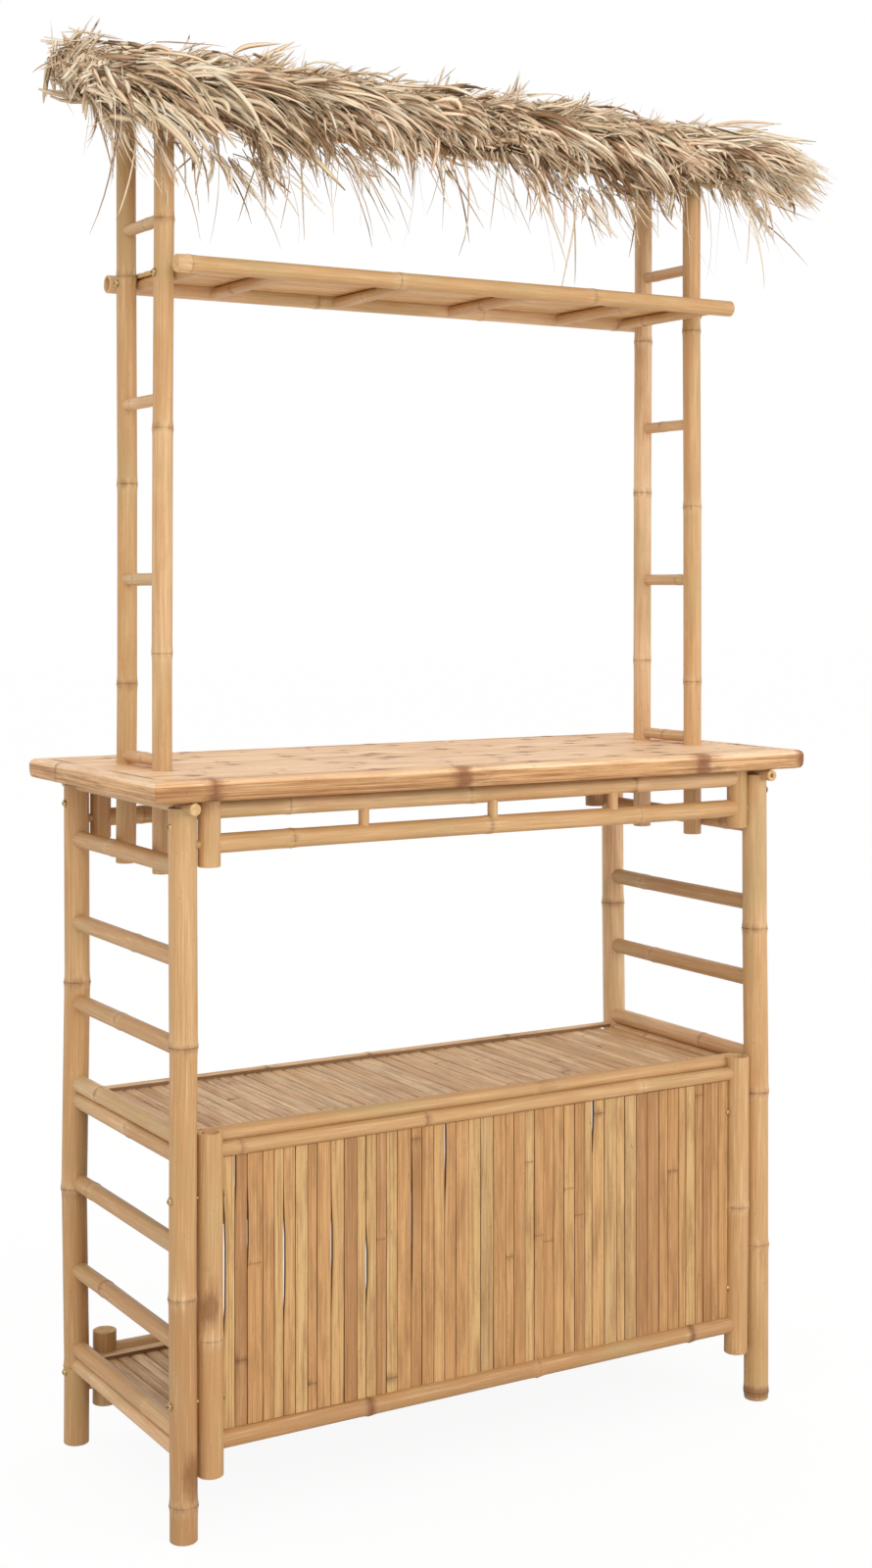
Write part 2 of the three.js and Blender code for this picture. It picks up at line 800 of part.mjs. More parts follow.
// The way of a strand from its root: along the hut, along the bed and away from it. It sways
// from column to column and droops towards its tip.
function strandWay(bed, column, s) {
  const [alongShare, acrossShare, awayShare] = bed.combShares;
  const turn = (2 * Math.PI * column * bed.length) / bed.columns / combWave;
  const droop = (droopShare * s * s) / (2 * bed.strandLength);
  return [
    alongShare * s,
    (acrossShare + swayShare * Math.sin(turn)) * s + acrossShare * droop,
    awayShare * (s - droop),
  ];
}

// The three sides of a strand from one ring of corners to the next
function strandSides(lower, upper) {
  return [0, 1, 2].flatMap((k) => {
    const next = (k + 1) % 3;
    return [
      [lower[k], lower[next], upper[next]],
      [lower[k], upper[next], upper[k]],
    ];
  });
}

// A strand on one triangle of the bed: it narrows to its foot, and from its bend to its tip.
function growStrand(bed, mesh, root, column, row) {
  const middle = [0, 1].map((axis) => {
    return root.reduce((sum, corner) => sum + mesh.points[corner][axis], 0) / root.length;
  });
  const lengthShare = between(shortestShare, 1, scatter(column, row)) * bed.rowShare(row);
  const reach = bed.strandLength * lengthShare;
  const add = (x, y, z) => mesh.points.push([x, y, z]) - 1;
  const ring = (s, widthShare) => {
    const [dx, dy, dz] = strandWay(bed, column, s);
    return root.map((corner) => {
      const [x, y] = mesh.points[corner];
      const [ringX, ringY] = [between(middle[0], x, widthShare), between(middle[1], y, widthShare)];
      return add(ringX + dx, ringY + dy, dz);
    });
  };
  const foot = ring(strandFoot, footWidthShare);
  const bend = ring(bendShare * reach, bendWidthShare);
  const [dx, dy, dz] = strandWay(bed, column, reach);
  const tip = add(middle[0] + dx, middle[1] + dy, dz);
  const point = [0, 1, 2].map((k) => [bend[k], bend[(k + 1) % 3], tip]);
  mesh.faces.push(...strandSides(root, foot), ...strandSides(foot, bend), ...point);
}

// A bed of thatch: a slab with a strand on each cell of its upper face. X runs along the hut,
// Y along the bed and Z away from it. All strands follow one curve and differ in length, and
// the curve climbs all the way, so that no two cross.
function thatchBed(bed) {
  const { length, width, columns, rows } = bed;
  const mesh = { points: [], faces: [] };
  const corner = (i, j) => i * (rows + 1) + j;
  for (let i = 0; i <= columns; i++) {
    for (let j = 0; j <= rows; j++) {
      mesh.points.push([(i / columns) * length, (j / rows) * width, 0]);
    }
  }
  for (let i = 0; i < columns; i++) {
    for (let j = 0; j < rows; j++) {
      const [a, b, c, d] = [corner(i, j), corner(i + 1, j), corner(i + 1, j + 1), corner(i, j + 1)];
      growStrand(bed, mesh, [a, b, d], i, j);
      mesh.faces.push([b, c, d]);
    }
  }
  const under = [[0, 0], [length, 0], [length, width], [0, width]].map(([x, y]) => {
    return mesh.points.push([x, y, -bed.thickness]) - 1;
  });
  const rims = [
    Array.from({ length: columns + 1 }, (_, i) => corner(i, 0)),
    Array.from({ length: rows + 1 }, (_, j) => corner(columns, j)),
    Array.from({ length: columns + 1 }, (_, i) => corner(columns - i, rows)),
    Array.from({ length: rows + 1 }, (_, j) => corner(0, rows - j)),
  ];
  rims.forEach((rim, k) => {
    const [here, next] = [under[k], under[(k + 1) % under.length]];
    for (let i = 0; i < rim.length - 1; i++) mesh.faces.push([here, rim[i + 1], rim[i]]);
    mesh.faces.push([here, next, rim[rim.length - 1]]);
  });
  mesh.faces.push([under[0], under[2], under[1]], [under[0], under[3], under[2]]);
  const geometry = new THREE.BufferGeometry();
  geometry.setAttribute("position", new THREE.Float32BufferAttribute(mesh.points.flat(), 3));
  geometry.setIndex(mesh.faces.flat());
  return geometry;
}

// One bed lies up the slope over both purlins. The other hangs on its front edge as a valance, so
// its strands count from the bottom row up.
function roof() {
  const rise = rearPurlinHeight - frontPurlinHeight;
  const slope = Math.atan2(rise, uprightSpanY);
  const matLeft = -uprightX - matLeftOverhang;
  const matLength = uprightX + matRightOverhang - matLeft;
  const lift = purlinRadius + clearance + matThickness;
  const matWidth = matFrontOverhang + uprightSpanY / Math.cos(slope) + matRearOverhang;
  const topY = uprightFrontY - lift * Math.sin(slope) - matFrontOverhang * Math.cos(slope);
  const topZ = frontPurlinHeight + lift * Math.cos(slope) - matFrontOverhang * Math.sin(slope);
  const top = thatchBed({
    length: matLength,
    width: matWidth,
    thickness: matThickness,
    columns: topStrandColumns,
    rows: topStrandRows,
    strandLength: topStrandLength,
    combShares: topCombShares,
    rowShare: () => 1,
  });
  top.rotateX(slope).translate(matLeft, topY, topZ);
  const front = thatchBed({
    length: matLength,
    width: valanceHeight,
    thickness: valanceThickness,
    columns: frontStrandColumns,
    rows: frontStrandRows,
    strandLength: frontStrandLength,
    combShares: frontCombShares,
    rowShare: (row) => between(shortestShare, 1, row / frontStrandRows),
  });
  const valanceY = topY - clearance - valanceThickness;
  const valanceZ = topZ - valanceHeight;
  front.rotateX(Math.PI / 2).translate(matLeft, valanceY, valanceZ);
  return assembly(
    piece("purlin_front", purlin(uprightFrontY, frontPurlinHeight, 0),
      [0, uprightFrontY, frontPurlinHeight], bamboo),
    piece("purlin_rear", purlin(uprightRearY, rearPurlinHeight, 0),
      [0, uprightRearY, rearPurlinHeight], bamboo),
    piece("thatch_top", solidFrom(top), [0, topY, topZ], straw),
    piece("thatch_front", solidFrom(front), [0, valanceY, valanceZ], straw),
  );
}

function aprons() {
  const meshes = [["front", frontY], ["rear", rearY]].map(([word, y]) =>
    piece(`apron_${word}`, apron(y), [0, y, apronLowerHeight], bamboo),
  );
  return assembly(...meshes);
}

// The origin is on the floor, under the middle of the whole hut.
function centred(hut) {
  const middle = new THREE.Box3().setFromObject(hut, true).getCenter(new THREE.Vector3());
  hut.position.set(-middle.x, -middle.y, 0);
  return new THREE.Group().add(hut);
}

const group = centred(
  assembly(
    endFrame("left"),
    endFrame("right"),
    aprons(),
    skirt(),
    shelves(),
    counter(),
    ladder("left"),
    ladder("right"),
    highShelf(),
    roof(),
  ),
);

export default group;
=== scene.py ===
"""The looks of a bamboo bar hut: culms with their joints, split slats, a boarded counter and
a roof of dry palm leaf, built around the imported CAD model. Metres, +Z up, -Y is the front."""

import math
import random

import bmesh
import bpy
from mathutils import Matrix, Vector


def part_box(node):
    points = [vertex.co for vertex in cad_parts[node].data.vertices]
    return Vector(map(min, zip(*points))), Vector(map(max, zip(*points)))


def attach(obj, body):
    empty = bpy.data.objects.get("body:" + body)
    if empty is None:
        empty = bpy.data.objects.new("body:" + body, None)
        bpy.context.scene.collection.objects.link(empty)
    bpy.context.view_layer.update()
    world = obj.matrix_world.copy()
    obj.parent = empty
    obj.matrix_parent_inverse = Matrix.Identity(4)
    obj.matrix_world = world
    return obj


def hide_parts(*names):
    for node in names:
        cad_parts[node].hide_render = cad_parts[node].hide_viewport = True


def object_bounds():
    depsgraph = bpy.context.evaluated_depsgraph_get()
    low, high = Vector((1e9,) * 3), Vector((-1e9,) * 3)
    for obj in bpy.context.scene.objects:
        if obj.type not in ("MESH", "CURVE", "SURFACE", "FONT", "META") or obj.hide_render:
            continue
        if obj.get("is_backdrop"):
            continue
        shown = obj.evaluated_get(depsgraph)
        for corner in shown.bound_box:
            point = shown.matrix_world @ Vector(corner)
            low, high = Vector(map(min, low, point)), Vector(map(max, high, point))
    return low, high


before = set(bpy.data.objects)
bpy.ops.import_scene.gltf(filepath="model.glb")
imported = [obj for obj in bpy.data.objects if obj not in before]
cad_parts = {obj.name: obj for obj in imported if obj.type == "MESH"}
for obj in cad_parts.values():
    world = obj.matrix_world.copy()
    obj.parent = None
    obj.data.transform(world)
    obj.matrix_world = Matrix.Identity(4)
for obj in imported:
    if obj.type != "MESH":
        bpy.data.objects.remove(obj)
cad_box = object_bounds()

MM = 0.001
TURN = 2 * math.pi
LEFT, RIGHT = Vector((-1, 0, 0)), Vector((1, 0, 0))
FRONT, BACK = Vector((0, -1, 0)), Vector((0, 1, 0))
UP = Vector((0, 0, 1))
AXES = {"x": RIGHT, "y": BACK, "z": UP}
SIDES = {"left": -1, "right": 1}
rng = random.Random(41)

# Measured places count from the middle between the four legs, in millimetres.
LEGS_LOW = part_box("leg_front_left")[0]
LEGS_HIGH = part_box("leg_rear_right")[1]
MIDDLE = Vector(((LEGS_LOW.x + LEGS_HIGH.x) / 2, (LEGS_LOW.y + LEGS_HIGH.y) / 2, 0))


def place(x, y, z):
    """A measured place in the frame of the CAD model."""
    return MIDDLE + Vector((x, y, z)) * MM


# Camera: fitted to the photograph, level, with the horizon above the middle of the frame
PHOTO_HEIGHT = 1600
HORIZON_ROW = 595.12
FOCAL_PIXELS = 2185.14
SENSOR = 36
CAMERA_PLACE = (-1641.44, -2769.79, 1256.13)
CAMERA_HEADING = -30.94

scene = bpy.context.scene
scene.view_settings.view_transform = "Standard"
camera = bpy.data.objects.new("camera", bpy.data.cameras.new("camera"))
scene.collection.objects.link(camera)
camera.location = place(*CAMERA_PLACE)
camera.rotation_euler = (math.radians(90), 0, math.radians(CAMERA_HEADING))
camera.data.sensor_width = SENSOR
camera.data.lens = FOCAL_PIXELS * SENSOR / PHOTO_HEIGHT
camera.data.shift_y = (HORIZON_ROW - PHOTO_HEIGHT / 2) / PHOTO_HEIGHT
scene.camera = camera


# Materials

def linear(colour):
    """A colour as it is seen, from 0 to 255, as the light that the shader wants."""
    def channel(value):
        value /= 255
        return value / 12.92 if value <= 0.04045 else ((value + 0.055) / 1.055) ** 2.4
    return (*(channel(value) for value in colour), 1.0)


class Nodes:
    """The nodes of a material or of the world."""

    def __init__(self, owner):
        owner.use_nodes = True
        self.tree = owner.node_tree

    def node(self, kind, settings=None, **inputs):
        made = self.tree.nodes.new(f"ShaderNode{kind}")
        for key, value in (settings or {}).items():
            setattr(made, key, value)
        for key, value in inputs.items():
            self.feed(made.inputs[key], value)
        return made

    def feed(self, socket, value):
        if isinstance(value, bpy.types.NodeSocket):
            self.tree.links.new(value, socket)
        else:
            socket.default_value = value

    def maths(self, operation, a, b=0.0, clamp=False):
        made = self.node("Math", {"operation": operation, "use_clamp": clamp})
        self.feed(made.inputs[0], a)
        self.feed(made.inputs[1], b)
        return made.outputs[0]

    def send(self, share, first, second, output):
        """Sends two shaders to the output, the second one as far as the share says."""
        mixed = self.node("MixShader", Fac=share)
        self.feed(mixed.inputs[1], first.outputs[0])
        self.feed(mixed.inputs[2], second.outputs[0])
        self.feed(output.inputs["Surface"], mixed.outputs[0])


class Finish(Nodes):
    """A material and the nodes that make it up."""

    def __init__(self, name):
        self.material = bpy.data.materials.new(name)
        super().__init__(self.material)
        self.shader = self.tree.nodes["Principled BSDF"]
        self.output = self.tree.nodes["Material Output"]

    def attribute(self, name, output="Fac"):
        return self.node("Attribute", {"attribute_name": name}).outputs[output]

    def noise(self, vector, scale, detail=3.0, roughness=0.55):
        return self.node("TexNoise", Vector=vector, Scale=scale, Detail=detail,
                         Roughness=roughness).outputs[0]

    def drawn_noise(self, vector, stretch, scale, detail=3.0, roughness=0.55):
        """Noise that is drawn out. stretch is its scale along Z, or that along X, Y and Z."""
        shares = stretch if isinstance(stretch, tuple) else (1, 1, stretch)
        mapped = self.node("Mapping", Vector=vector, Scale=shares).outputs[0]
        return self.noise(mapped, scale, detail, roughness)

    def ramp(self, factor, stops):
        made = self.node("ValToRGB", Fac=factor)
        elements = made.color_ramp.elements
        while len(elements) < len(stops):
            elements.new(1.0)
        for element, (position, colour) in zip(elements, stops):
            element.position = position
            element.color = linear(colour)
        return made.outputs[0]

    def step(self, factor, low, high):
        """0 at low, 1 at high, and a straight line between."""
        made = self.node("MapRange", {"clamp": True}, Value=factor)
        self.feed(made.inputs["From Min"], low)
        self.feed(made.inputs["From Max"], high)
        return made.outputs[0]

    def blotted(self, amount, mottle):
        """An amount from 0 to 1 that is patchy where it is low and whole where it is high."""
        loss = self.maths("MULTIPLY", self.maths("SUBTRACT", 1.0, mottle), 0.7)
        return self.maths("SUBTRACT", self.maths("MULTIPLY", amount, 1.7), loss, clamp=True)

    def mix(self, factor, a, b):
        made = self.node("Mix", {"data_type": "RGBA"})
        self.feed(made.inputs["Factor"], factor)
        self.feed(made.inputs[6], a)
        self.feed(made.inputs[7], b)
        return made.outputs[2]

    def layered(self, base, layers):
        """Lays colours over a base in turn, each as strongly as its amount times its share."""
        for amount, share, colour in layers:
            base = self.mix(self.maths("MULTIPLY", amount, share), base, linear(colour))
        return base

    def rough(self, amount, share, least):
        """Roughness that rises from the least by a share of an amount."""
        return self.maths("ADD", self.maths("MULTIPLY", amount, share), least)

    def bump(self, height, distance, strength):
        return self.node("Bump", Height=height, Strength=strength, Distance=distance).outputs[0]

    def set(self, **sockets):
        for key, value in sockets.items():
            self.feed(self.shader.inputs[key.replace("_", " ")], value)


def bamboo_skin():
    """The outer skin of a culm: fine streaks along it, a tone of its own in each internode,
    a broken dark line at each joint and brown smudges beside it."""
    skin = Finish("bamboo_skin")
    grain = skin.attribute("grain", "Vector")
    streak = skin.drawn_noise(grain, 0.03, 330, 4, 0.6)
    fibre = skin.drawn_noise(grain, 0.012, 1400, 2)
    blotch = skin.drawn_noise(grain, 0.25, 30, 4, 0.6)
    cast = skin.drawn_noise(grain, 0.3, 17, 2)
    speck = skin.drawn_noise(grain, 0.4, 420, 2, 0.6)
    smudge = skin.drawn_noise(grain, 0.3, 80, 4, 0.7)
    base = skin.ramp(skin.attribute("tone"), [
        (0.0, (176, 132, 86)), (0.25, (190, 147, 98)), (0.5, (203, 161, 112)),
        (0.75, (213, 172, 126)), (1.0, (221, 184, 142)),
    ])
    dirt_and_shade = skin.blotted(skin.attribute("stain_and_shade"), skin.step(smudge, 0.34, 0.64))
    line = skin.maths("MULTIPLY", skin.attribute("ring"), skin.step(smudge, 0.3, 0.6), clamp=True)
    skin.set(Base_Color=skin.layered(base, [
        (skin.step(streak, 0.47, 0.7), 0.5, (172, 124, 76)),  # dark streaks
        (skin.step(streak, 0.45, 0.28), 0.45, (234, 200, 150)),  # pale streaks
        (skin.step(blotch, 0.5, 0.7), 0.55, (186, 134, 80)),  # warm blotches
        (skin.step(cast, 0.5, 0.66), 0.45, (178, 155, 106)),  # a green cast
        (skin.step(fibre, 0.5, 0.75), 0.35, (158, 112, 66)),
        (skin.step(speck, 0.66, 0.74), 0.4, (126, 86, 50)),
        (skin.attribute("bloom"), skin.step(streak, 0.66, 0.34), (238, 212, 170)),  # wax
        (dirt_and_shade, 0.72, (126, 80, 44)),
        (line, 0.45, (112, 72, 40)),
    ]))
    skin.set(Roughness=skin.rough(streak, 0.25, 0.32), Specular_IOR_Level=0.38)
    halves = [skin.maths("MULTIPLY", height, 0.5) for height in (fibre, smudge)]
    skin.set(Normal=skin.bump(skin.maths("ADD", *halves), 0.0005, 0.6))
    return skin.material


def bamboo_cut():
    """A sawn end: pale wood with the ends of its fibres."""
    cut = Finish("bamboo_cut")
    grain = cut.attribute("grain", "Vector")
    pores = cut.node("TexVoronoi", Vector=grain, Scale=1300.0).outputs["Distance"]
    base = cut.ramp(cut.noise(grain, 140, 3), [(0.3, (190, 150, 98)), (0.7, (222, 188, 138))])
    dotted = cut.layered(base, [(cut.step(pores, 0.35, 0.1), 0.45, (140, 98, 56))])
    cut.set(Base_Color=dotted, Roughness=0.75, Specular_IOR_Level=0.2)
    cut.set(Normal=cut.bump(pores, 0.0003, 0.5))
    return cut.material


def split_bamboo(name, tones, dark, joint, lightness, streaks, ring_share=0.4):
    """Split slats: each has a tone of its own, long dark and pale streaks and brown marks at
    its joints."""
    split = Finish(name)
    grain = split.attribute("grain", "Vector")
    streak = split.drawn_noise(grain, 0.02, 330, 5, 0.65)
    fibre = split.drawn_noise(grain, 0.008, 1100, 3, 0.6)
    blotch = split.drawn_noise(grain, 0.2, 50, 4, 0.65)
    speck = split.drawn_noise(grain, 0.3, 380, 2, 0.6)
    smudge = split.drawn_noise(grain, 0.2, 120, 4, 0.7)
    # Darkening from joint stains, and from painted shade on the sides of slats.
    dirt_and_shade = split.blotted(split.attribute("stain_and_shade"), split.step(smudge, 0.34, 0.62))
    split.set(Base_Color=split.layered(split.ramp(split.attribute("tone"), tones), [
        (split.step(blotch, 0.46, 0.68), 0.55, dark),
        (split.step(streak, 0.5, 0.62), streaks, dark),
        (split.step(streak, 0.46, 0.3), lightness, (240, 210, 166)),
        (split.step(fibre, 0.53, 0.68), 0.4, dark),
        (split.step(speck, 0.68, 0.75), 0.5, joint),
        (dirt_and_shade, 0.8, joint),
        (split.attribute("ring"), ring_share, joint),
    ]))
    split.set(Roughness=split.rough(streak, 0.25, 0.36), Specular_IOR_Level=0.33)
    split.set(Normal=split.bump(split.maths("ADD", fibre, streak), 0.0009, 0.8))
    return split.material


def brass():
    """Yellow plated steel, dulled in places."""
    metal = Finish("worn_brass")
    wear = metal.noise(metal.node("TexCoord").outputs["Object"], 420, 4)
    metal.set(Base_Color=metal.ramp(wear, [(0.35, (150, 122, 76)), (0.6, (216, 190, 134))]))
    metal.set(Metallic=1.0, Roughness=metal.rough(wear, 0.4, 0.15))
    return metal.material


def dry_leaf():
    """Dry palm leaf: each blade has a tone of its own, long fibres, a dark root, which is painted
    shade where the blades crowd together, and a pinkish tip. Fibres, patches and root are weaker
    on paler blades."""
    leaf = Finish("dry_palm_leaf")
    tone = leaf.attribute("tone")
    along = leaf.attribute("along")
    grain = leaf.attribute("grain", "Vector")
    fibre = leaf.drawn_noise(grain, 0.03, 900, 3)
    patch = leaf.drawn_noise(grain, 0.4, 60, 3)
    base = leaf.ramp(tone, [
        (0.0, (142, 108, 76)), (0.16, (208, 178, 142)), (0.38, (236, 214, 178)),
        (0.56, (232, 222, 194)), (0.74, (246, 214, 182)), (0.88, (250, 228, 198)),
        (1.0, (252, 240, 216)),
    ])
    strength = leaf.maths("SUBTRACT", 1.0, leaf.maths("MULTIPLY", tone, 0.85))
    fibred = leaf.maths("MULTIPLY", leaf.step(fibre, 0.5, 0.74), 0.5)
    patched = leaf.maths("MULTIPLY", leaf.step(patch, 0.5, 0.75), 0.55)
    leaf.set(Roughness=0.7, Specular_IOR_Level=0.25, Base_Color=leaf.layered(base, [
        (fibred, strength, (150, 116, 82)),
        (patched, strength, (214, 170, 132)),
        (leaf.step(along, 0.55, 1.0), 0.3, (240, 204, 174)),  # tip
        # Painted shade: the root end of each blade is darkened where the blades crowd together.
        (leaf.step(along, 0.32, 0.0), strength, (104, 78, 50)),  # root
    ]))
    leaf.set(Normal=leaf.bump(fibre, 0.0003, 0.5))
    return leaf.material


def painted_shade_mat():
    """The mat inside the thatch, of matted leaf and fibre, coloured dark as painted shade in the
    gaps between the blades.
    """
    mat = Finish("matted_fibre_painted_shade")
    where = mat.node("TexCoord").outputs["Object"]
    fibre = mat.drawn_noise(where, (0.15, 1, 1), 260, 5, 0.7)
    base = mat.ramp(fibre, [(0.35, (54, 40, 26)), (0.55, (92, 70, 46)), (0.75, (136, 110, 76))])
    clouds = mat.step(mat.noise(where, 18, 3), 0.45, 0.7)
    mat.set(Base_Color=mat.mix(clouds, base, linear((88, 66, 44))), Roughness=0.95)
    mat.set(Specular_IOR_Level=0.1, Normal=mat.bump(fibre, 0.004, 0.9))
    return mat.material


SKIN = bamboo_skin()
CUT = bamboo_cut()
SKIRT_SLAT = split_bamboo("split_bamboo_skirt", [
    (0.0, (174, 126, 80)), (0.2, (186, 137, 86)), (0.4, (197, 148, 95)), (0.6, (203, 157, 102)),
    (0.8, (208, 168, 112)), (1.0, (190, 154, 105)),
], dark=(144, 100, 58), joint=(90, 58, 32), lightness=0.22, streaks=0.5)
# Paler than the skirt's slats: painted light from above on the decks.
DECK_SLAT_PAINTED_LIGHT = split_bamboo("split_bamboo_deck_painted_light", [
    (0.0, (212, 170, 120)), (0.3, (225, 184, 134)), (0.6, (236, 197, 148)),
    (0.85, (242, 208, 162)), (1.0, (222, 190, 144)),
], dark=(164, 116, 72), joint=(104, 68, 40), lightness=0.3, streaks=0.7)
# Paler than the other split bamboo: painted light from above on the counter's top.
BOARD_PAINTED_LIGHT = split_bamboo("split_bamboo_counter_painted_light", [
    (0.0, (232, 188, 140)), (0.35, (243, 204, 160)), (0.7, (251, 218, 177)),
    (1.0, (246, 213, 177)),
], dark=(206, 152, 102), joint=(150, 92, 50), lightness=0.6, streaks=0.75, ring_share=0.5)
EDGE = split_bamboo("split_bamboo_edge", [
    (0.0, (178, 132, 86)), (0.5, (202, 152, 100)), (1.0, (222, 176, 124)),
], dark=(150, 98, 54), joint=(122, 72, 42), lightness=0.5, streaks=0.85, ring_share=0.1)
# Paler than the edge colour: painted light that makes up for the shade under the high shelf.
HIGH_STRIP_PAINTED_LIGHT = split_bamboo("split_bamboo_high_shelf_painted_light", [
    (0.0, (222, 174, 116)), (0.5, (230, 186, 126)), (1.0, (238, 198, 140)),
], dark=(178, 128, 76), joint=(124, 80, 44), lightness=0.4, streaks=0.7)
BRASS = brass()
LEAF = dry_leaf()
MAT_PAINTED_SHADE = painted_shade_mat()


# Pieces

def finish_piece(bm, name, materials, nodes):
    """Makes the mesh a piece of the hut in the place of its CAD nodes."""
    mesh = bpy.data.meshes.new(name)
    bm.to_mesh(mesh)
    bm.free()
    for material in materials:
        mesh.materials.append(material)
    made = bpy.data.objects.new(name, mesh)
    scene.collection.objects.link(made)
    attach(made, "root")
    if nodes:
        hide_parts(*nodes)


def faces_of(corners):
    return list({face for corner in corners for face in corner.link_faces})


def spun(bm, profile, steps):
    """Turns a line of radii and heights round Z into a closed skin, and gives its corners and
    faces."""
    old = set(bm.verts)
    line = [bm.verts.new((r, 0, z)) for r, z in profile]
    edges = [bm.edges.new(pair) for pair in zip(line, line[1:])]
    bmesh.ops.spin(bm, geom=line + edges, cent=(0, 0, 0), axis=UP, angle=TURN, steps=steps,
                   use_merge=True)
    bmesh.ops.remove_doubles(bm, verts=[v for v in bm.verts if v not in old], dist=0.01 * MM)
    fresh = [v for v in bm.verts if v not in old]
    faces = faces_of(fresh)
    bmesh.ops.recalc_face_normals(bm, faces=faces)
    return fresh, faces


def drawn_out(bm, section, places):
    """Draws a section out along Z from zero, with a ring of corners at each place."""
    cap = bm.faces.new([bm.verts.new((x, y, 0)) for x, y in section])
    at = 0
    for z in places:
        grown = bmesh.ops.extrude_face_region(bm, geom=[cap])["geom"]
        cap = next(item for item in grown if isinstance(item, bmesh.types.BMFace))
        bmesh.ops.translate(bm, vec=UP * (z - at), verts=list(cap.verts))
        at = z


def crease(faces, degrees, unpaired=0):
    """Keeps the edges sharp where two faces meet at a larger angle. unpaired is the angle that
    counts where more or fewer faces meet."""
    for edge in {edge for face in faces for edge in face.edges}:
        edge.smooth = edge.calc_face_angle(unpaired) < math.radians(degrees)


def pointed(direction):
    """The turn that points Z in a direction."""
    return direction.to_track_quat("Z", "Y").to_matrix().to_4x4()


def read_off(table, at):
    """The value at a place in a table of places and values, and 0 outside it."""
    for (a0, v0), (a1, v1) in zip(table, table[1:]):
        if a0 <= at <= a1:
            return v0 + (v1 - v0) * (at - a0) / (a1 - a0)
    return 0.0


# Bamboo

BAMBOO_VALUES = ("tone", "ring", "bloom", "stain_and_shade")
RING_REACH = 1.8 * MM  # of the dark line at a joint
WAX_REACH = 17 * MM  # of the pale bloom beside it
WAX_RANGE = (0.05, 0.5)
SKIN_STAIN_REACH = 13 * MM
JOINT_REACH = 16 * MM
RIM = 0.8 * MM  # rounding of a sawn end
CULM_BOW = 1.0 * MM
CULM_WALL_SHARE = 0.28
THIN_SIDES = 16  # of the thinnest culms

# Swelling of a culm at a joint, as distance in millimetres and share of the radius
JOINT_SWELL = [
    (-16, 0.0), (-7, 0.012), (-3, 0.035), (-1.4, 0.062), (-0.5, 0.05), (0, 0.016), (0.6, 0.03),
    (1.6, 0.044), (5, 0.022), (13, 0.0),
]


def bamboo_work():
    """An empty mesh whose corners carry the grain, tone, joint lines and stains of bamboo, and
    the painted shade on the sides of slats.
    """
    bm = bmesh.new()
    bm.verts.layers.float_vector.new("grain")
    for name in BAMBOO_VALUES:
        bm.verts.layers.float.new(name)
    return bm


def stations(length, joints, spacing, marks, margin):
    """Where a length is divided: evenly, and closely at each joint."""
    close = [joint + mark for joint in joints for mark in marks if 0 < joint + mark < length]
    count = max(2, round(length / spacing))
    even = [length * i / count for i in range(1, count)]
    kept = [at for at in even if all(abs(at - joint) > margin for joint in joints)]
    return sorted(close + kept)


def side_share(place_on, side):
    """How far a place on a culm faces a side, given as an angle in degrees: 1 to 0."""
    turned = math.atan2(place_on.y, place_on.x) - math.radians(side)
    return max(0, math.cos(turned)) ** 3


def fading(strengths, gaps, reach):
    """Strengths that fade to nothing at a reach from the places that the gaps are measured to."""
    return [s * (1 - gap / reach) for s, gap in zip(strengths, gaps) if gap < reach]


def mark_bamboo(bm, corners, joints, stain_reach, smudges=(), tones=None, turn=None,
                dirt_range=(0.1, 0.55)):
    """Writes grain, tone, joint lines and stains on the corners of one length of bamboo, which
    still lies along Z from zero. tones go from its start to its end. A smudge has a place, a
    reach, a strength and the side it is on after the turn, as an angle, or None all round.
    dirt_range is how strong the stain of a joint may be."""
    grain = bm.verts.layers.float_vector["grain"]
    tone, ring, bloom, stain_and_shade = (bm.verts.layers.float[name] for name in BAMBOO_VALUES)
    offset = Vector([rng.uniform(-9, 9) for _ in range(3)])
    own = rng.uniform(0.2, 0.8)
    if tones is None:
        tones = [min(1, max(0, own + rng.uniform(-0.25, 0.25))) for _ in range(len(joints) + 1)]
    strengths = [rng.uniform(*dirt_range) for _ in joints]
    waxes = [rng.uniform(*WAX_RANGE) for _ in joints]
    for corner in corners:
        z = corner.co.z
        gaps = [abs(z - joint) for joint in joints]
        dirt_and_shade = fading(strengths, gaps, stain_reach)
        for at, reach, strength, side in smudges:
            if abs(z - at) < reach:
                facing = 1 if side is None else side_share(turn @ corner.co, side)
                dirt_and_shade.append(strength * facing * (1 - abs(z - at) / reach))
        corner[grain] = corner.co + offset
        corner[tone] = tones[min(len(tones) - 1, sum(z > joint for joint in joints))]
        corner[ring] = max(fading([1] * len(gaps), gaps, RING_REACH), default=0)
        corner[bloom] = max(fading(waxes, gaps, WAX_REACH), default=0)
        corner[stain_and_shade] = min(1, max(dirt_and_shade, default=0))


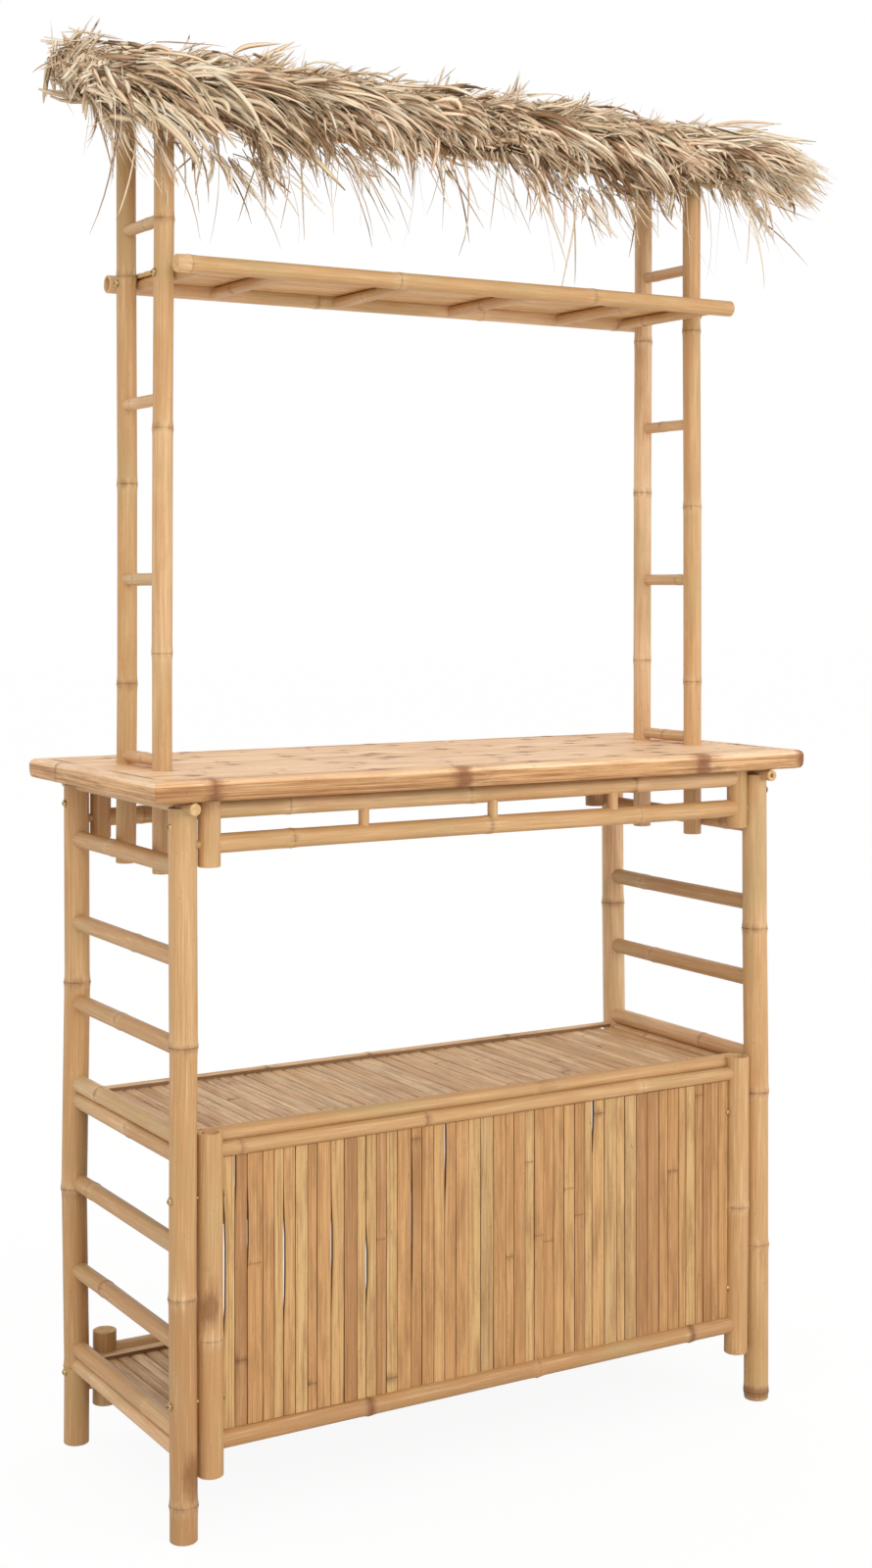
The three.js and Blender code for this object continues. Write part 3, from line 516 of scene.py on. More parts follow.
def culm_outline(length, radius, joints, open_ends, bore_depth, wall_share, fullness):
    """Half the lengthwise section of a culm, from the axis at its start to the axis at its end.
    fullness makes its joints swell more or less."""
    rim = min(RIM, radius * 0.12)
    bore = radius * (1 - wall_share)

    def end(opened, at, inward):
        if not opened:
            return [(0, at), (radius - rim, at)]
        return [(0, at + inward * bore_depth), (bore * 0.96, at + inward * bore_depth),
                (bore, at + inward * rim), (bore + rim / 2, at), (radius - rim, at)]

    marks = [distance * MM for distance, _ in JOINT_SWELL]
    body = stations(length, joints, 45 * MM, marks, 18 * MM)
    sides = []
    girths = [rng.uniform(0.985, 1.03) for _ in range(len(joints) + 1)]
    for z in [rim, *(at for at in body if rim < at < length - rim), length - rim]:
        growth = fullness * sum(read_off(JOINT_SWELL, (z - joint) / MM) for joint in joints)
        girth = girths[sum(z > joint for joint in joints)] if joints else 1.0
        sides.append((radius * (girth + growth), z))
    return end(open_ends[0], 0, 1) + sides + list(reversed(end(open_ends[1], length, -1)))


def add_culm(bm, start, end, radius, joints=(), open_ends=(False, False), bow=CULM_BOW, sides=24,
             smudges=(), bore_depth=26 * MM, wall_share=CULM_WALL_SHARE, tones=None, leans=None,
             fullness=1.0):
    """A bamboo culm from start to end. joints are the distances of its joints from its start,
    and leans says how far it stands off its straight line at its start, each joint and its end.
    Without leans it bows at random by up to bow."""
    start, end = Vector(start), Vector(end)
    length = (end - start).length
    joints = sorted(joint for joint in joints if 4 * MM < joint < length - 4 * MM)
    outline = culm_outline(length, radius, joints, open_ends, min(bore_depth, length / 3),
                           wall_share, fullness)
    fresh, faces = spun(bm, outline, sides)
    turn = pointed(end - start)
    mark_bamboo(bm, fresh, joints, SKIN_STAIN_REACH, smudges, tones, turn)
    for face in faces:
        face.smooth = True
        middle = face.calc_center_median()
        in_bore = math.hypot(middle.x, middle.y) < radius * 0.8
        at_joint = any(abs(middle.z - joint) < JOINT_REACH for joint in joints)
        face.material_index = int(in_bore or (abs(face.normal.z) > 0.8 and not at_joint))
    crease(faces, 35)
    bends = [0, *joints, length] if joints else [0, length / 2, length]
    if leans is None:
        leans = [bow * Vector((rng.uniform(-1, 1), rng.uniform(-1, 1), 0)) for _ in bends[1:-1]]
        leans = [Vector((0, 0, 0)), *leans, Vector((0, 0, 0))]
    else:
        leans = [turn.inverted() @ lean for lean in leans]
    for corner in fresh:
        nearest = min(len(bends) - 2, max(0, sum(corner.co.z > bend for bend in bends) - 1))
        share = (corner.co.z - bends[nearest]) / (bends[nearest + 1] - bends[nearest])
        corner.co += leans[nearest].lerp(leans[nearest + 1], min(1, max(0, share)))
    bmesh.ops.transform(bm, matrix=Matrix.Translation(start) @ turn, verts=fresh)


def random_joints(length, spacing=240 * MM):
    """Joints of a culm that the photograph doesn't show."""
    found, at = [], rng.uniform(0.25, 0.9) * spacing
    while at < length:
        found.append(at)
        at += spacing * rng.uniform(0.85, 1.15)
    return found


def culm_piece(node, axis, marks=None, smudges=(), leans=None, **make):
    """A culm in the place of one CAD node that is a plain culm. marks are measured joint places
    along its axis, and leans are measured steps to the side at its start, each joint and its
    end, in millimetres. The rest says how the culm is made."""
    low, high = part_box(node)
    direction = AXES[axis]
    centre = (low + high) / 2
    reach = (high - low).dot(direction) / 2
    radius = max((high - low)[i] / 2 for i in range(3) if direction[i] == 0)
    start, end = centre - direction * reach, centre + direction * reach
    base = start.dot(direction) - MIDDLE.dot(direction)
    length = (end - start).length
    joints = random_joints(length) if marks is None else [mark * MM - base for mark in marks]
    spots = [(at * MM - base, size * MM, strength, side) for at, size, strength, side in smudges]
    steps = None if leans is None else [Vector((step * MM, 0, 0)) for step in leans]
    bm = bamboo_work()
    add_culm(bm, start, end, radius, joints, smudges=spots, leans=steps, **make)
    finish_piece(bm, f"{node}_culm", [SKIN, CUT], [node])


def add_slat(bm, matrix, width, thickness, length, joints=(), crown=0.6 * MM, tone=None,
             cheek=1.2 * MM, warp=0.0, slit=None, dirt_range=(0.1, 0.55), stain_reach=14 * MM,
             side_shade=1.0):
    """A split slat. Before the matrix it lies along Z from zero, X runs across it and Y out of
    its rounded face. warp is how far it may bow and lean to the side, and slit is the middle,
    reach and width of an opening on its left side. The last argument says how dark its sides are
    painted, as painted shade in the gaps between slats."""
    old = set(bm.verts)
    half = width / 2
    section = [
        (-half, 0), (half, 0), (half, thickness - cheek),
        (half - cheek * 0.4, thickness - cheek * 0.3), (half * 0.72, thickness + crown * 0.45),
        (0, thickness + crown), (-half * 0.72, thickness + crown * 0.45),
        (cheek * 0.4 - half, thickness - cheek * 0.3), (-half, thickness - cheek),
    ]
    joints = sorted(joint for joint in joints if 6 * MM < joint < length - 6 * MM)
    marks = [-8 * MM, -2 * MM, 0, 2 * MM, 8 * MM]
    drawn_out(bm, section, [*stations(length, joints, 42 * MM, marks, 12 * MM), length])
    fresh = [v for v in bm.verts if v not in old]
    faces = faces_of(fresh)
    bmesh.ops.recalc_face_normals(bm, faces=faces)
    mark_bamboo(bm, fresh, joints, stain_reach, dirt_range=dirt_range)
    layer, stain_and_shade = bm.verts.layers.float["tone"], bm.verts.layers.float["stain_and_shade"]
    own = rng.random() if tone is None else tone
    bow, lean = rng.uniform(-warp, warp), rng.uniform(-warp, warp)
    for corner in fresh:
        corner[layer] = own
        # Painted shade: the sides are darkened as if they lay in the gaps between slats.
        if abs(corner.co.x) > half * 0.99:
            corner[stain_and_shade] = side_shade
        if slit and corner.co.x < 0:
            closed = abs(corner.co.z - slit[0]) / slit[1]
            corner.co.x -= slit[2] * max(0, 1 - closed ** 4) * corner.co.x / half
        share = corner.co.z / length
        corner.co.x += bow * math.sin(math.pi * share) + lean * (share - 0.5)
        near = min((abs(corner.co.z - joint) for joint in joints), default=1)
        if near < 3 * MM and corner.co.y > thickness / 2:
            corner.co.y += 0.5 * MM
    for face in faces:
        face.smooth = abs(face.normal.z) < 0.5
        face.material_index = int(abs(face.normal.z) > 0.9)
    crease(faces, 40, math.pi)
    bmesh.ops.transform(bm, matrix=matrix, verts=fresh)


def slat_frame(origin, across, out):
    """The matrix that lays a slat: across is its X, out its Y, and its length follows."""
    turn = Matrix((across, out, across.cross(out))).transposed().to_4x4()
    return Matrix.Translation(origin) @ turn


def along_hut(x, y, z):
    """The matrix that lays a strip flat along the hut, from its left end."""
    return slat_frame(Vector((x, y, z)), BACK, UP)


def uneven(count, total, spread):
    """Widths that add up to a total and differ by a share of their mean."""
    widths = [1 + rng.uniform(-spread, spread) for _ in range(count)]
    scale = total / sum(widths)
    return [width * scale for width in widths]


# End frames. Of each leg and upright: the heights of its joints, its smudges, its tones from
# its foot to its top, and its leans to the right. Heights and leans are in millimetres.

LEGS = {
    "leg_front_left": ([648, 318.8, 47.5], [(88, 48, 1.6, -68), (318, 14, 0.4, None)],
                       [0.0, 0.05, 0.3, 0.5], [1, 1, -0.8, 0.6, -1]),
    "leg_rear_left": ([674, 372.8, 113.1], [(366, 18, 0.5, None)],
                      [0.1, 0.15, 0.3, 0.4], [0, 0.5, -3.4, 1.2, 0]),
    "leg_front_right": ([725.4, 472.8, 238.4, 11.5], [(226, 26, 0.3, -90), (12, 14, 1.2, None)],
                        [0.45, 0.45, 0.45, 0.5, 0.65], [0, 0, 0.4, 0.6, -2.6, -3.4]),
    # The rear right leg has the palest tones: painted light that makes up for the shade it stands
    # in.
    "leg_rear_right": ([716.5, 431, 142], [], [1.0, 1.0, 1.0, 1.0], [0, 1.5, 4, 0.5, -1]),
}
UPRIGHTS = {
    "upright_rear_left": ([1690.9, 1397, 1114.2], [(1690.9, 12, 0.4, None)],
                          [0.48, 0.44, 0.3, 0.25], [0.6, 2.4, 2.6, 1.2, 0.6]),
    "upright_front_left": ([1755, 1468.2, 1160], [(1755, 12, 0.4, None)],
                           [0.75, 0.68, 0.45, 0.4], [-0.8, -1.2, -0.2, 1.8, 1.6]),
    # The rear right upright has the palest tones: painted light that makes up for the shade it
    # stands in.
    "upright_rear_right": ([1652, 1404.2, 1130], [(1652, 12, 0.4, None)],
                           [1.0, 1.0, 1.0, 1.0], [-2, -1.6, -1, 0.4, 0.8]),
    "upright_front_right": ([1656, 1377.7, 1100], [(1656, 12, 0.4, None)],
                            [0.6, 0.52, 0.42, 0.35], [0, 0.2, 0, -1.6, -1.4]),
}


def standing_culms(table, fullness):
    for node, (marks, smudges, tones, leans) in table.items():
        culm_piece(node, "z", marks, smudges, leans, open_ends=(True, False), bow=0, tones=tones,
                   fullness=fullness)


standing_culms(LEGS, 1.3)

RUNGS = ("apron_rung", "rung_high", "rung_middle", "rung_low", "rung_foot")
RUNG_TONE = 0.35
RUNG_TONES = {
    "rung_middle_left": 0.25, "rung_low_left": 0.25, "rung_foot_left": 0.15,
    "rung_high_right": 0.1, "rung_middle_right": 0.25,
}
for side in SIDES:
    culm_piece(f"top_rail_{side}", "y", [-196, 60], open_ends=(side == "right", True),
               bow=0.4 * MM, wall_share=0.6)
    for rung in RUNGS:
        node = f"{rung}_{side}"
        culm_piece(node, "y", [rng.uniform(-130, 130)], bow=0.8 * MM,
                   tones=[RUNG_TONES.get(node, RUNG_TONE)])


def shelf_rungs(node, upper_joint, lower_joint):
    """The pair of rungs that carries a shelf, one nailed on the other."""
    low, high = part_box(node)
    radius = (high.x - low.x) / 2
    x = (low.x + high.x) / 2
    bm = bamboo_work()
    for z, joint in ((high.z - radius, upper_joint), (low.z + radius, lower_joint)):
        joints = [joint * MM + MIDDLE.y - low.y]
        add_culm(bm, (x, low.y, z), (x, high.y, z), radius, joints, bow=0.5 * MM)
    finish_piece(bm, f"{node}_culms", [SKIN, CUT], [node])


shelf_rungs("middle_shelf_rungs_left", 90.6, -19.6)
shelf_rungs("middle_shelf_rungs_right", -60, 85)
shelf_rungs("bottom_shelf_rungs_left", -75, 110)
shelf_rungs("bottom_shelf_rungs_right", 40, -110)


# Aprons and rear stretcher, in millimetres

APRON_POST_X = 444
APRON_POST_RADIUS = 15.5
APRON_RAIL_RADIUS = 13
APRON_RAIL_HIGH = 957.7
APRON_RAIL_LOW = 911.7
SPINDLE_PLACES = (-210.5, 0, 210.5)
SPINDLE_FOOT = 918
SPINDLE_TOP = 950
SPINDLE_RADIUS = 7.5
STRETCHER_POST_X = 437.5
STRETCHER_POST_RADIUS = 17.5
STRETCHER_RAIL_RADIUS = 12.5
STRETCHER_RAIL_HIGH = 123
STRETCHER_RAIL_LOW = 79
PEG_RADIUS = 6


def post_frame(node, post_x, post_radius, rail_radius, rails, jointed=False, spindles=(),
               stained_and_shaded=None):
    """Two short posts with two rails between them, pegs that go on from the lower rail into the
    legs, and perhaps spindles. rails are their heights and joints, from the upper one. The post
    at the place given last has a dark brown lower end, partly stain and partly painted shade."""
    low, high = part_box(node)
    y = (low.y + high.y) / 2
    middle = MIDDLE.x
    bm = bamboo_work()
    for x in (-post_x, post_x):
        at = middle + x * MM
        joints = [rng.uniform(0.3, 0.8) * (high.z - low.z)] if jointed else []
        # The dark lower end is partly stain and partly painted shade.
        smudges = [(0, 40 * MM, 1.4, None)] if x == stained_and_shaded else ()
        add_culm(bm, (at, y, low.z), (at, y, high.z), post_radius * MM, joints, (True, False), 0,
                 smudges=smudges, bore_depth=14 * MM)
    inset = (post_x - 0.55 * post_radius) * MM
    for z, marks in rails:
        joints = [mark * MM + inset for mark in marks]
        add_culm(bm, (middle - inset, y, z * MM), (middle + inset, y, z * MM), rail_radius * MM,
                 joints, bow=0.6 * MM)
    z = rails[-1][0] * MM
    for start, stop in ((low.x, middle - post_x * MM), (middle + post_x * MM, high.x)):
        add_culm(bm, (start, y, z), (stop, y, z), PEG_RADIUS * MM, bow=0, sides=THIN_SIDES)
    for x in spindles:
        at = middle + x * MM
        add_culm(bm, (at, y, SPINDLE_FOOT * MM), (at, y, SPINDLE_TOP * MM), SPINDLE_RADIUS * MM,
                 bow=0.3 * MM, sides=THIN_SIDES)
    finish_piece(bm, f"{node}_frame", [SKIN, CUT], [node])


def apron(word, high_joints, low_joints, stained_and_shaded=None):
    post_frame(f"apron_{word}", APRON_POST_X, APRON_POST_RADIUS, APRON_RAIL_RADIUS,
               [(APRON_RAIL_HIGH, high_joints), (APRON_RAIL_LOW, low_joints)],
               spindles=SPINDLE_PLACES, stained_and_shaded=stained_and_shaded)


apron("front", [-328.5, -42.4, 245.5], [-322.6, -7.9, 254.5])
apron("rear", [-250, 30, 310], [-380, -90, 200], APRON_POST_X)
post_frame("rear_stretcher", STRETCHER_POST_X, STRETCHER_POST_RADIUS, STRETCHER_RAIL_RADIUS,
           [(STRETCHER_RAIL_HIGH, [-300, -20, 260]), (STRETCHER_RAIL_LOW, [-190, 90, 350])],
           jointed=True)


# Skirt

culm_piece("skirt_post_left", "z", [258.6], [(310, 44, 1.4, -112)], [0.4, 0, -0.6],
           open_ends=(True, True), tones=[0.25, 0.35])
culm_piece("skirt_post_right", "z", [302], [(84, 12, 0.5, None)], [-1.4, 1.4, 2.2],
           open_ends=(True, True), tones=[0.35, 0.45])
culm_piece("skirt_rail_top", "x", [-400, -113.4, 259.9], bow=0.5 * MM,
           tones=[0.3, 0.35, 0.4, 0.35])
culm_piece("skirt_rail_bottom", "x", [-204.5, 74.2, 349.7],
           [(-204.5, 10, 1.1, None), (349.7, 10, 1.1, None)], bow=0.5 * MM,
           tones=[0.0, 0.0, 0.05, 0.05], fullness=2.0)

# Groups of slats from the left: how many, and the slit on their left side as the height of its
# middle, its reach and its width, in millimetres
SLAT_GROUPS = [
    (1, 345, 96, 4.6), (1, 478, 46, 1.9), (3, 395, 46, 1.8), (4, 345, 76, 2.8),
    (3, 352, 66, 2.3), (4, 312, 46, 2.8), (3, 372, 100, 2.2), (14, 462, 58, 3.0),
    (14, 478, 40, 3.4),
]
SLAT_THICKNESS = 5.2 * MM
SLAT_WARP = 0.3 * MM
SLAT_OFFSET = 3  # millimetres of their backs behind the middle of the rails
BATTEN_HEIGHTS = (411 * MM, 221 * MM)
BATTEN_RADIUS = 7 * MM


def skirt_slats():
    """The upright slats in their groups, with two battens behind them."""
    low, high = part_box("skirt_slats")
    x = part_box("skirt_post_left")[1].x
    rail_low, rail_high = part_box("skirt_rail_top")
    y = (rail_low.y + rail_high.y) / 2
    pitch = (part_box("skirt_post_right")[0].x - x) / sum(group[0] for group in SLAT_GROUPS)
    length = high.z - low.z
    bm = bamboo_work()
    for count, opening, reach, gap in SLAT_GROUPS:
        slit = (high.z - opening * MM, reach * MM, gap * MM)
        for wide in uneven(count, count * pitch, 0.26):
            joints = [rng.uniform(0, length)] if rng.random() < 0.35 else []
            back = y + (SLAT_OFFSET + rng.uniform(-0.6, 0.6)) * MM
            matrix = slat_frame(Vector((x + wide / 2, back, high.z)), RIGHT, FRONT)
            add_slat(bm, matrix, wide - 0.35 * MM, SLAT_THICKNESS, length, joints,
                     warp=SLAT_WARP, slit=slit)
            slit = None
            x += wide
    y = high.y - BATTEN_RADIUS
    for z in BATTEN_HEIGHTS:
        add_culm(bm, (low.x, y, z), (high.x, y, z), BATTEN_RADIUS, random_joints(high.x - low.x),
                 sides=THIN_SIDES)
    finish_piece(bm, "skirt_slats_split", [SKIRT_SLAT, CUT], ["skirt_slats"])


skirt_slats()


# Shelves

DECK_SLATS = 43
TRIM_WIDTH = 16 * MM
TRIM_HEIGHT = 8 * MM
TRIM_LAP = 6 * MM  # of the trim over the slats
TRIM_JOINTS = [300 * MM, 480 * MM, 740 * MM]
PLAY = 0.5 * MM  # between a slat and a leg or post
DECK_BATTEN_Y = 125 * MM


def deck(shelf):
    """Slats from front to back on two battens, with a trim strip over their rear ends. They are
    shorter beside the legs and the skirt's posts."""
    low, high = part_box(f"{shelf}_shelf_deck")
    leg_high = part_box("leg_front_left")[1]
    post_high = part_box("skirt_post_left")[1]
    leg_right, post_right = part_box("leg_front_right")[0].x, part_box("skirt_post_right")[0].x
    surface = high.z - TRIM_HEIGHT
    length = high.x - low.x
    bm = bamboo_work()
    x = low.x
    for wide in uneven(DECK_SLATS, length, 0.1):
        front, rear = low.y, high.y - TRIM_WIDTH + TRIM_LAP
        if x < leg_high.x or x + wide > leg_right:
            front = leg_high.y + PLAY
            rear = min(rear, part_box("leg_rear_left")[0].y - PLAY)
        elif x < post_high.x or x + wide > post_right:
            front = post_high.y + PLAY
        joints = [rng.uniform(0, rear - front)] if rng.random() < 0.5 else []
        matrix = slat_frame(Vector((x + wide / 2, rear, surface - 6 * MM)), RIGHT, UP)
        add_slat(bm, matrix, wide - 0.6 * MM, SLAT_THICKNESS, rear - front, joints, 0.9 * MM,
                 cheek=1.8 * MM, warp=SLAT_WARP, side_shade=0.85)
        x += wide
    add_slat(bm, along_hut(low.x, high.y - TRIM_WIDTH / 2, surface), TRIM_WIDTH - 1 * MM,
             5.5 * MM, length, TRIM_JOINTS, 2 * MM, 0.9)
    for y in (-DECK_BATTEN_Y, DECK_BATTEN_Y):
        add_slat(bm, along_hut(low.x, MIDDLE.y + y, low.z), 18 * MM, 11.5 * MM, length,
                 random_joints(length))
    finish_piece(bm, f"{shelf}_shelf_slats", [DECK_SLAT_PAINTED_LIGHT, CUT],
                 [f"{shelf}_shelf_deck"])


deck("middle")
deck("bottom")
culm_piece("middle_shelf_front_rail", "x", [], [(96, 10, 1.0, None), (60, 8, 0.6, None)],
           bow=0.6 * MM, tones=[0.4])


# Counter

BOARD_STRIPS = 19
BOARD_THICKNESS = 13.7 * MM
BOARD_DEPTH = 14 * MM  # of the strips' undersides below the top
COUNTER_BATTENS = (-481.5, -270, 0, 270, 481.5)


def counter_board():
    """Strips of split bamboo along the counter, with their joints staggered, on battens."""
    low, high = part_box("counter_board")
    bm = bamboo_work()
    y = low.y
    for wide in uneven(BOARD_STRIPS, high.y - low.y, 0.08):
        joints = random_joints(high.x - low.x, 250 * MM)
        add_slat(bm, along_hut(low.x, y + wide / 2, high.z - BOARD_DEPTH), wide - 0.25 * MM,
                 BOARD_THICKNESS, high.x - low.x, joints, 0.25 * MM, cheek=0.7 * MM,
                 dirt_range=(0.1, 0.95), stain_reach=28 * MM)
        y += wide
    for x in COUNTER_BATTENS:
        matrix = slat_frame(Vector((MIDDLE.x + x * MM, high.y, low.z)), RIGHT, UP)
        add_slat(bm, matrix, 30 * MM, 14.5 * MM, high.y - low.y, random_joints(high.y - low.y), 0)
    finish_piece(bm, "counter_strips", [BOARD_PAINTED_LIGHT, CUT], ["counter_board"])


def counter_edge(word, out, joints, tones=None):
    """An edge strip of the counter, mitred at both ends: its face is flat, and its top corner is
    rounded and takes the board's paler colour, as painted light from above. joints are places,
    reaches and strengths of its marks."""
    node = f"counter_edge_{word}"
    low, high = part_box(node)
    along = UP.cross(out)
    length = abs((high - low).dot(along))
    depth = abs((high - low).dot(out))
    height = high.z - low.z
    bm = bamboo_work()
    brow = height * 0.77
    section = [
        (0, 0), (depth * 0.6, 0), (depth * 0.88, height * 0.06), (depth * 0.97, height * 0.2),
        (depth, height * 0.45), (depth, brow), (depth - 2 * MM, height * 0.91),
        (depth - 5.5 * MM, height * 0.98), (depth - 10 * MM, height), (0, height),
    ]
    marks = sorted(joint * MM + length / 2 for joint, _, _ in joints)
    bands = [(joint * MM + length / 2, reach * MM, strength, None)
             for joint, reach, strength in joints]
    close = [-16 * MM, -5 * MM, 0, 5 * MM, 16 * MM]
    drawn_out(bm, section, [*stations(length, marks, 60 * MM, close, 20 * MM), length])
    for end, lean in ((0, -1), (length, 1)):
        cut = bmesh.ops.bisect_plane(
            bm, geom=bm.verts[:] + bm.edges[:] + bm.faces[:], dist=0.001 * MM,
            plane_co=(depth, 0, end), plane_no=(-1, 0, lean), clear_outer=True)
        edges = [item for item in cut["geom_cut"] if isinstance(item, bmesh.types.BMEdge)]
        bmesh.ops.holes_fill(bm, edges=edges)
    bmesh.ops.recalc_face_normals(bm, faces=bm.faces[:])
    mark_bamboo(bm, bm.verts[:], marks, 4 * MM, bands, tones)
    for face in bm.faces:
        face.smooth = True
        # The rounded top corner takes the board's colour: painted light from above.
        on_brow = face.calc_center_median().y > brow and abs(face.normal.z) < 0.5
        face.material_index = int(on_brow)
    crease(bm.faces, 38)
    origin = (low + high) / 2 - along * length / 2 - out * depth / 2
    origin.z = low.z
    turn = Matrix((out, UP, along)).transposed().to_4x4()
    bmesh.ops.transform(bm, matrix=Matrix.Translation(origin) @ turn, verts=bm.verts[:])
    bmesh.ops.recalc_face_normals(bm, faces=bm.faces[:])  # the turn mirrors the strip
    finish_piece(bm, f"{node}_strip", [EDGE, BOARD_PAINTED_LIGHT], [node])


counter_board()
counter_edge("front", FRONT, [(-455, 24, 0.75), (-73, 24, 1.1), (347, 24, 1.2), (537, 10, 1.3)],
             [0.2, 0.2, 0.6, 0.9, 0.9])
counter_edge("rear", BACK, [(-360, 18, 1.0), (-20, 20, 1.1), (300, 20, 1.0)])
counter_edge("left", LEFT, [(-125, 8, 0.5)])
counter_edge("right", RIGHT, [(60, 16, 0.9), (-90, 18, 1.0)])


# Uprights, ladder rungs and high shelf

standing_culms(UPRIGHTS, 1.4)
for side in SIDES:
    for level in ("counter", "first", "second", "third"):
        culm_piece(f"ladder_rung_{level}_{side}", "y", [rng.uniform(-30, 40)], bow=0.3 * MM,
                   tones=[0.8])
culm_piece("high_shelf_rail_front", "x", [-450, -128, 207.1], open_ends=(False, True),
           bow=0.8 * MM, wall_share=0.5, tones=[0.9, 0.4, 0.35, 0.4])
# The rear rail has a pale tone: painted light that makes up for the shade under the high shelf.
culm_piece("high_shelf_rail_rear", "x", [-133.4, 160, 420], open_ends=(True, True), bow=0.8 * MM,
           tones=[0.95])

HIGH_STRIPS = 9
STRIP_GAP = 1.2 * MM
CROSS_BAR_PLACES = (-304.4 * MM, -101.5 * MM, 101.5 * MM, 304.4 * MM)
CROSS_BAR_INSET = 10 * MM  # of the bar at each end
CROSS_BAR_RADIUS = 8.6 * MM
CROSS_BAR_HEIGHT = 11 * MM


def high_deck():
    """Strips along the hut on round cross bars."""
    low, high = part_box("high_shelf_deck")
    bm = bamboo_work()
    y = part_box("high_shelf_rail_front")[1].y + 0.3 * MM
    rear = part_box("high_shelf_rail_rear")[0].y - 0.3 * MM
    for wide in uneven(HIGH_STRIPS, rear - y, 0.1):
        joints = random_joints(high.x - low.x)
        add_slat(bm, along_hut(low.x, y + wide / 2, high.z - 6 * MM), wide - STRIP_GAP, 5.4 * MM,
                 high.x - low.x, joints, side_shade=0.1)
        y += wide
    end = (high.x - low.x) / 2 - CROSS_BAR_INSET
    centre = (high.x + low.x) / 2
    z = low.z + CROSS_BAR_HEIGHT
    for x in (-end, *CROSS_BAR_PLACES, end):
        add_culm(bm, (centre + x, low.y, z), (centre + x, high.y, z), CROSS_BAR_RADIUS,
                 [rng.uniform(0.03, 0.2)], bow=0.4 * MM, sides=20, tones=[0.5])
    for face in bm.faces:
        if face.calc_center_median().z < high.z - 6.5 * MM and face.material_index == 0:
            face.material_index = 2
    finish_piece(bm, "high_shelf_strips", [HIGH_STRIP_PAINTED_LIGHT, CUT, SKIN],
                 ["high_shelf_deck"])


high_deck()
for word in ("front", "rear"):
    culm_piece(f"purlin_{word}", "x", open_ends=(True, True), bow=1.2 * MM)


# Bolts

# Heights of the bolts in the frame, in millimetres
FRAME_BOLT_HEIGHTS = {
    "leg_front": [937], "upright_front": [1681], "leg_rear": [935, 105], "upright_rear": [1681],
}
BOLT_SUNK = 0.3 * MM
HEAD_RADIUS = 5 * MM
HEAD_HEIGHT = 3.2 * MM
HEAD_ROOM = 3.5 * MM  # that a head takes of a skirt bolt's length
SHANK_RADIUS = 3 * MM
# Half the section of a head from its socket to its washer, as shares of its radius and height
HEAD_PROFILE = [
    (0, 0.35), (0.36, 0.35), (0.4, 1), (0.62, 0.93), (0.86, 0.62), (0.93, 0.26), (1.15, 0.24),
    (1.18, 0), (0, 0),
]


def add_bolt_head(bm, at, out):
    """A domed bolt head with a round socket, on its washer."""
    profile = [(HEAD_RADIUS * r, HEAD_HEIGHT * z) for r, z in HEAD_PROFILE]
    fresh, faces = spun(bm, profile, 18)
    crease(faces, 40)
    for face in faces:
        face.smooth = True
    bmesh.ops.transform(bm, matrix=Matrix.Translation(at) @ pointed(out), verts=fresh)


def bolts():
    """The bolts through the legs and uprights, and the skirt's bolts with their nuts."""
    for side, sign in SIDES.items():
        out = Vector((sign, 0, 0))
        for level in ("upper", "lower"):
            node = f"skirt_bolt_{level}_{side}"
            low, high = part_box(node)
            centre = (low + high) / 2
            outer, inner = (high.x, low.x) if sign > 0 else (low.x, high.x)
            bm = bmesh.new()
            for x, way in ((outer - sign * HEAD_ROOM, out), (inner + sign * HEAD_ROOM, -out)):
                add_bolt_head(bm, Vector((x, centre.y, centre.z)), way)
            shank = bmesh.ops.create_cone(bm, cap_ends=True, segments=12, radius1=SHANK_RADIUS,
                                          radius2=SHANK_RADIUS, depth=abs(outer - inner) - 5 * MM)
            middle = Vector(((outer + inner) / 2, centre.y, centre.z))
            bmesh.ops.transform(bm, matrix=Matrix.Translation(middle) @ pointed(out),
                                verts=shank["verts"])
            finish_piece(bm, f"{node}_brass", [BRASS], [node])
        bm = bmesh.new()
        for culm, heights in FRAME_BOLT_HEIGHTS.items():
            low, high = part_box(f"{culm}_{side}")
            x = high.x if sign > 0 else low.x
            for z in heights:
                at = Vector((x - sign * BOLT_SUNK, (low.y + high.y) / 2, z * MM))
                add_bolt_head(bm, at, out)
        finish_piece(bm, f"frame_bolts_{side}", [BRASS], [])


bolts()


# Thatch. Lengths and distances are in millimetres here, and places are in metres.

BLADE_POINTS = 7
BLADE_SECTION = [(-1.0, 0.2), (0.0, -0.14), (1.0, 0.2), (0.0, 0.12)]
LONGEST = 1.12  # blade of a tuft, as a share of the tuft's length
PALER = 1.15  # How much is added to the tone of blades from the left end to the right
DARKER = 0.64  # How much is taken off all of them
ROOF_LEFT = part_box("thatch_top")[0].x
ROOF_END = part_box("thatch_top")[1].x
ROOF_RIGHT = ROOF_END - 80 * MM
ROOF_FRONT = place(0, -109, 1930)
ROOF_DEPTH = 200
ROOF_SLOPE = math.atan2(45, 131)
UP_SLOPE = Vector((0, math.cos(ROOF_SLOPE), math.sin(ROOF_SLOPE)))
OFF_SLOPE = Vector((0, -math.sin(ROOF_SLOPE), math.cos(ROOF_SLOPE)))
PAST_END = 38  # how far blades may pass the right end of the CAD's thatch

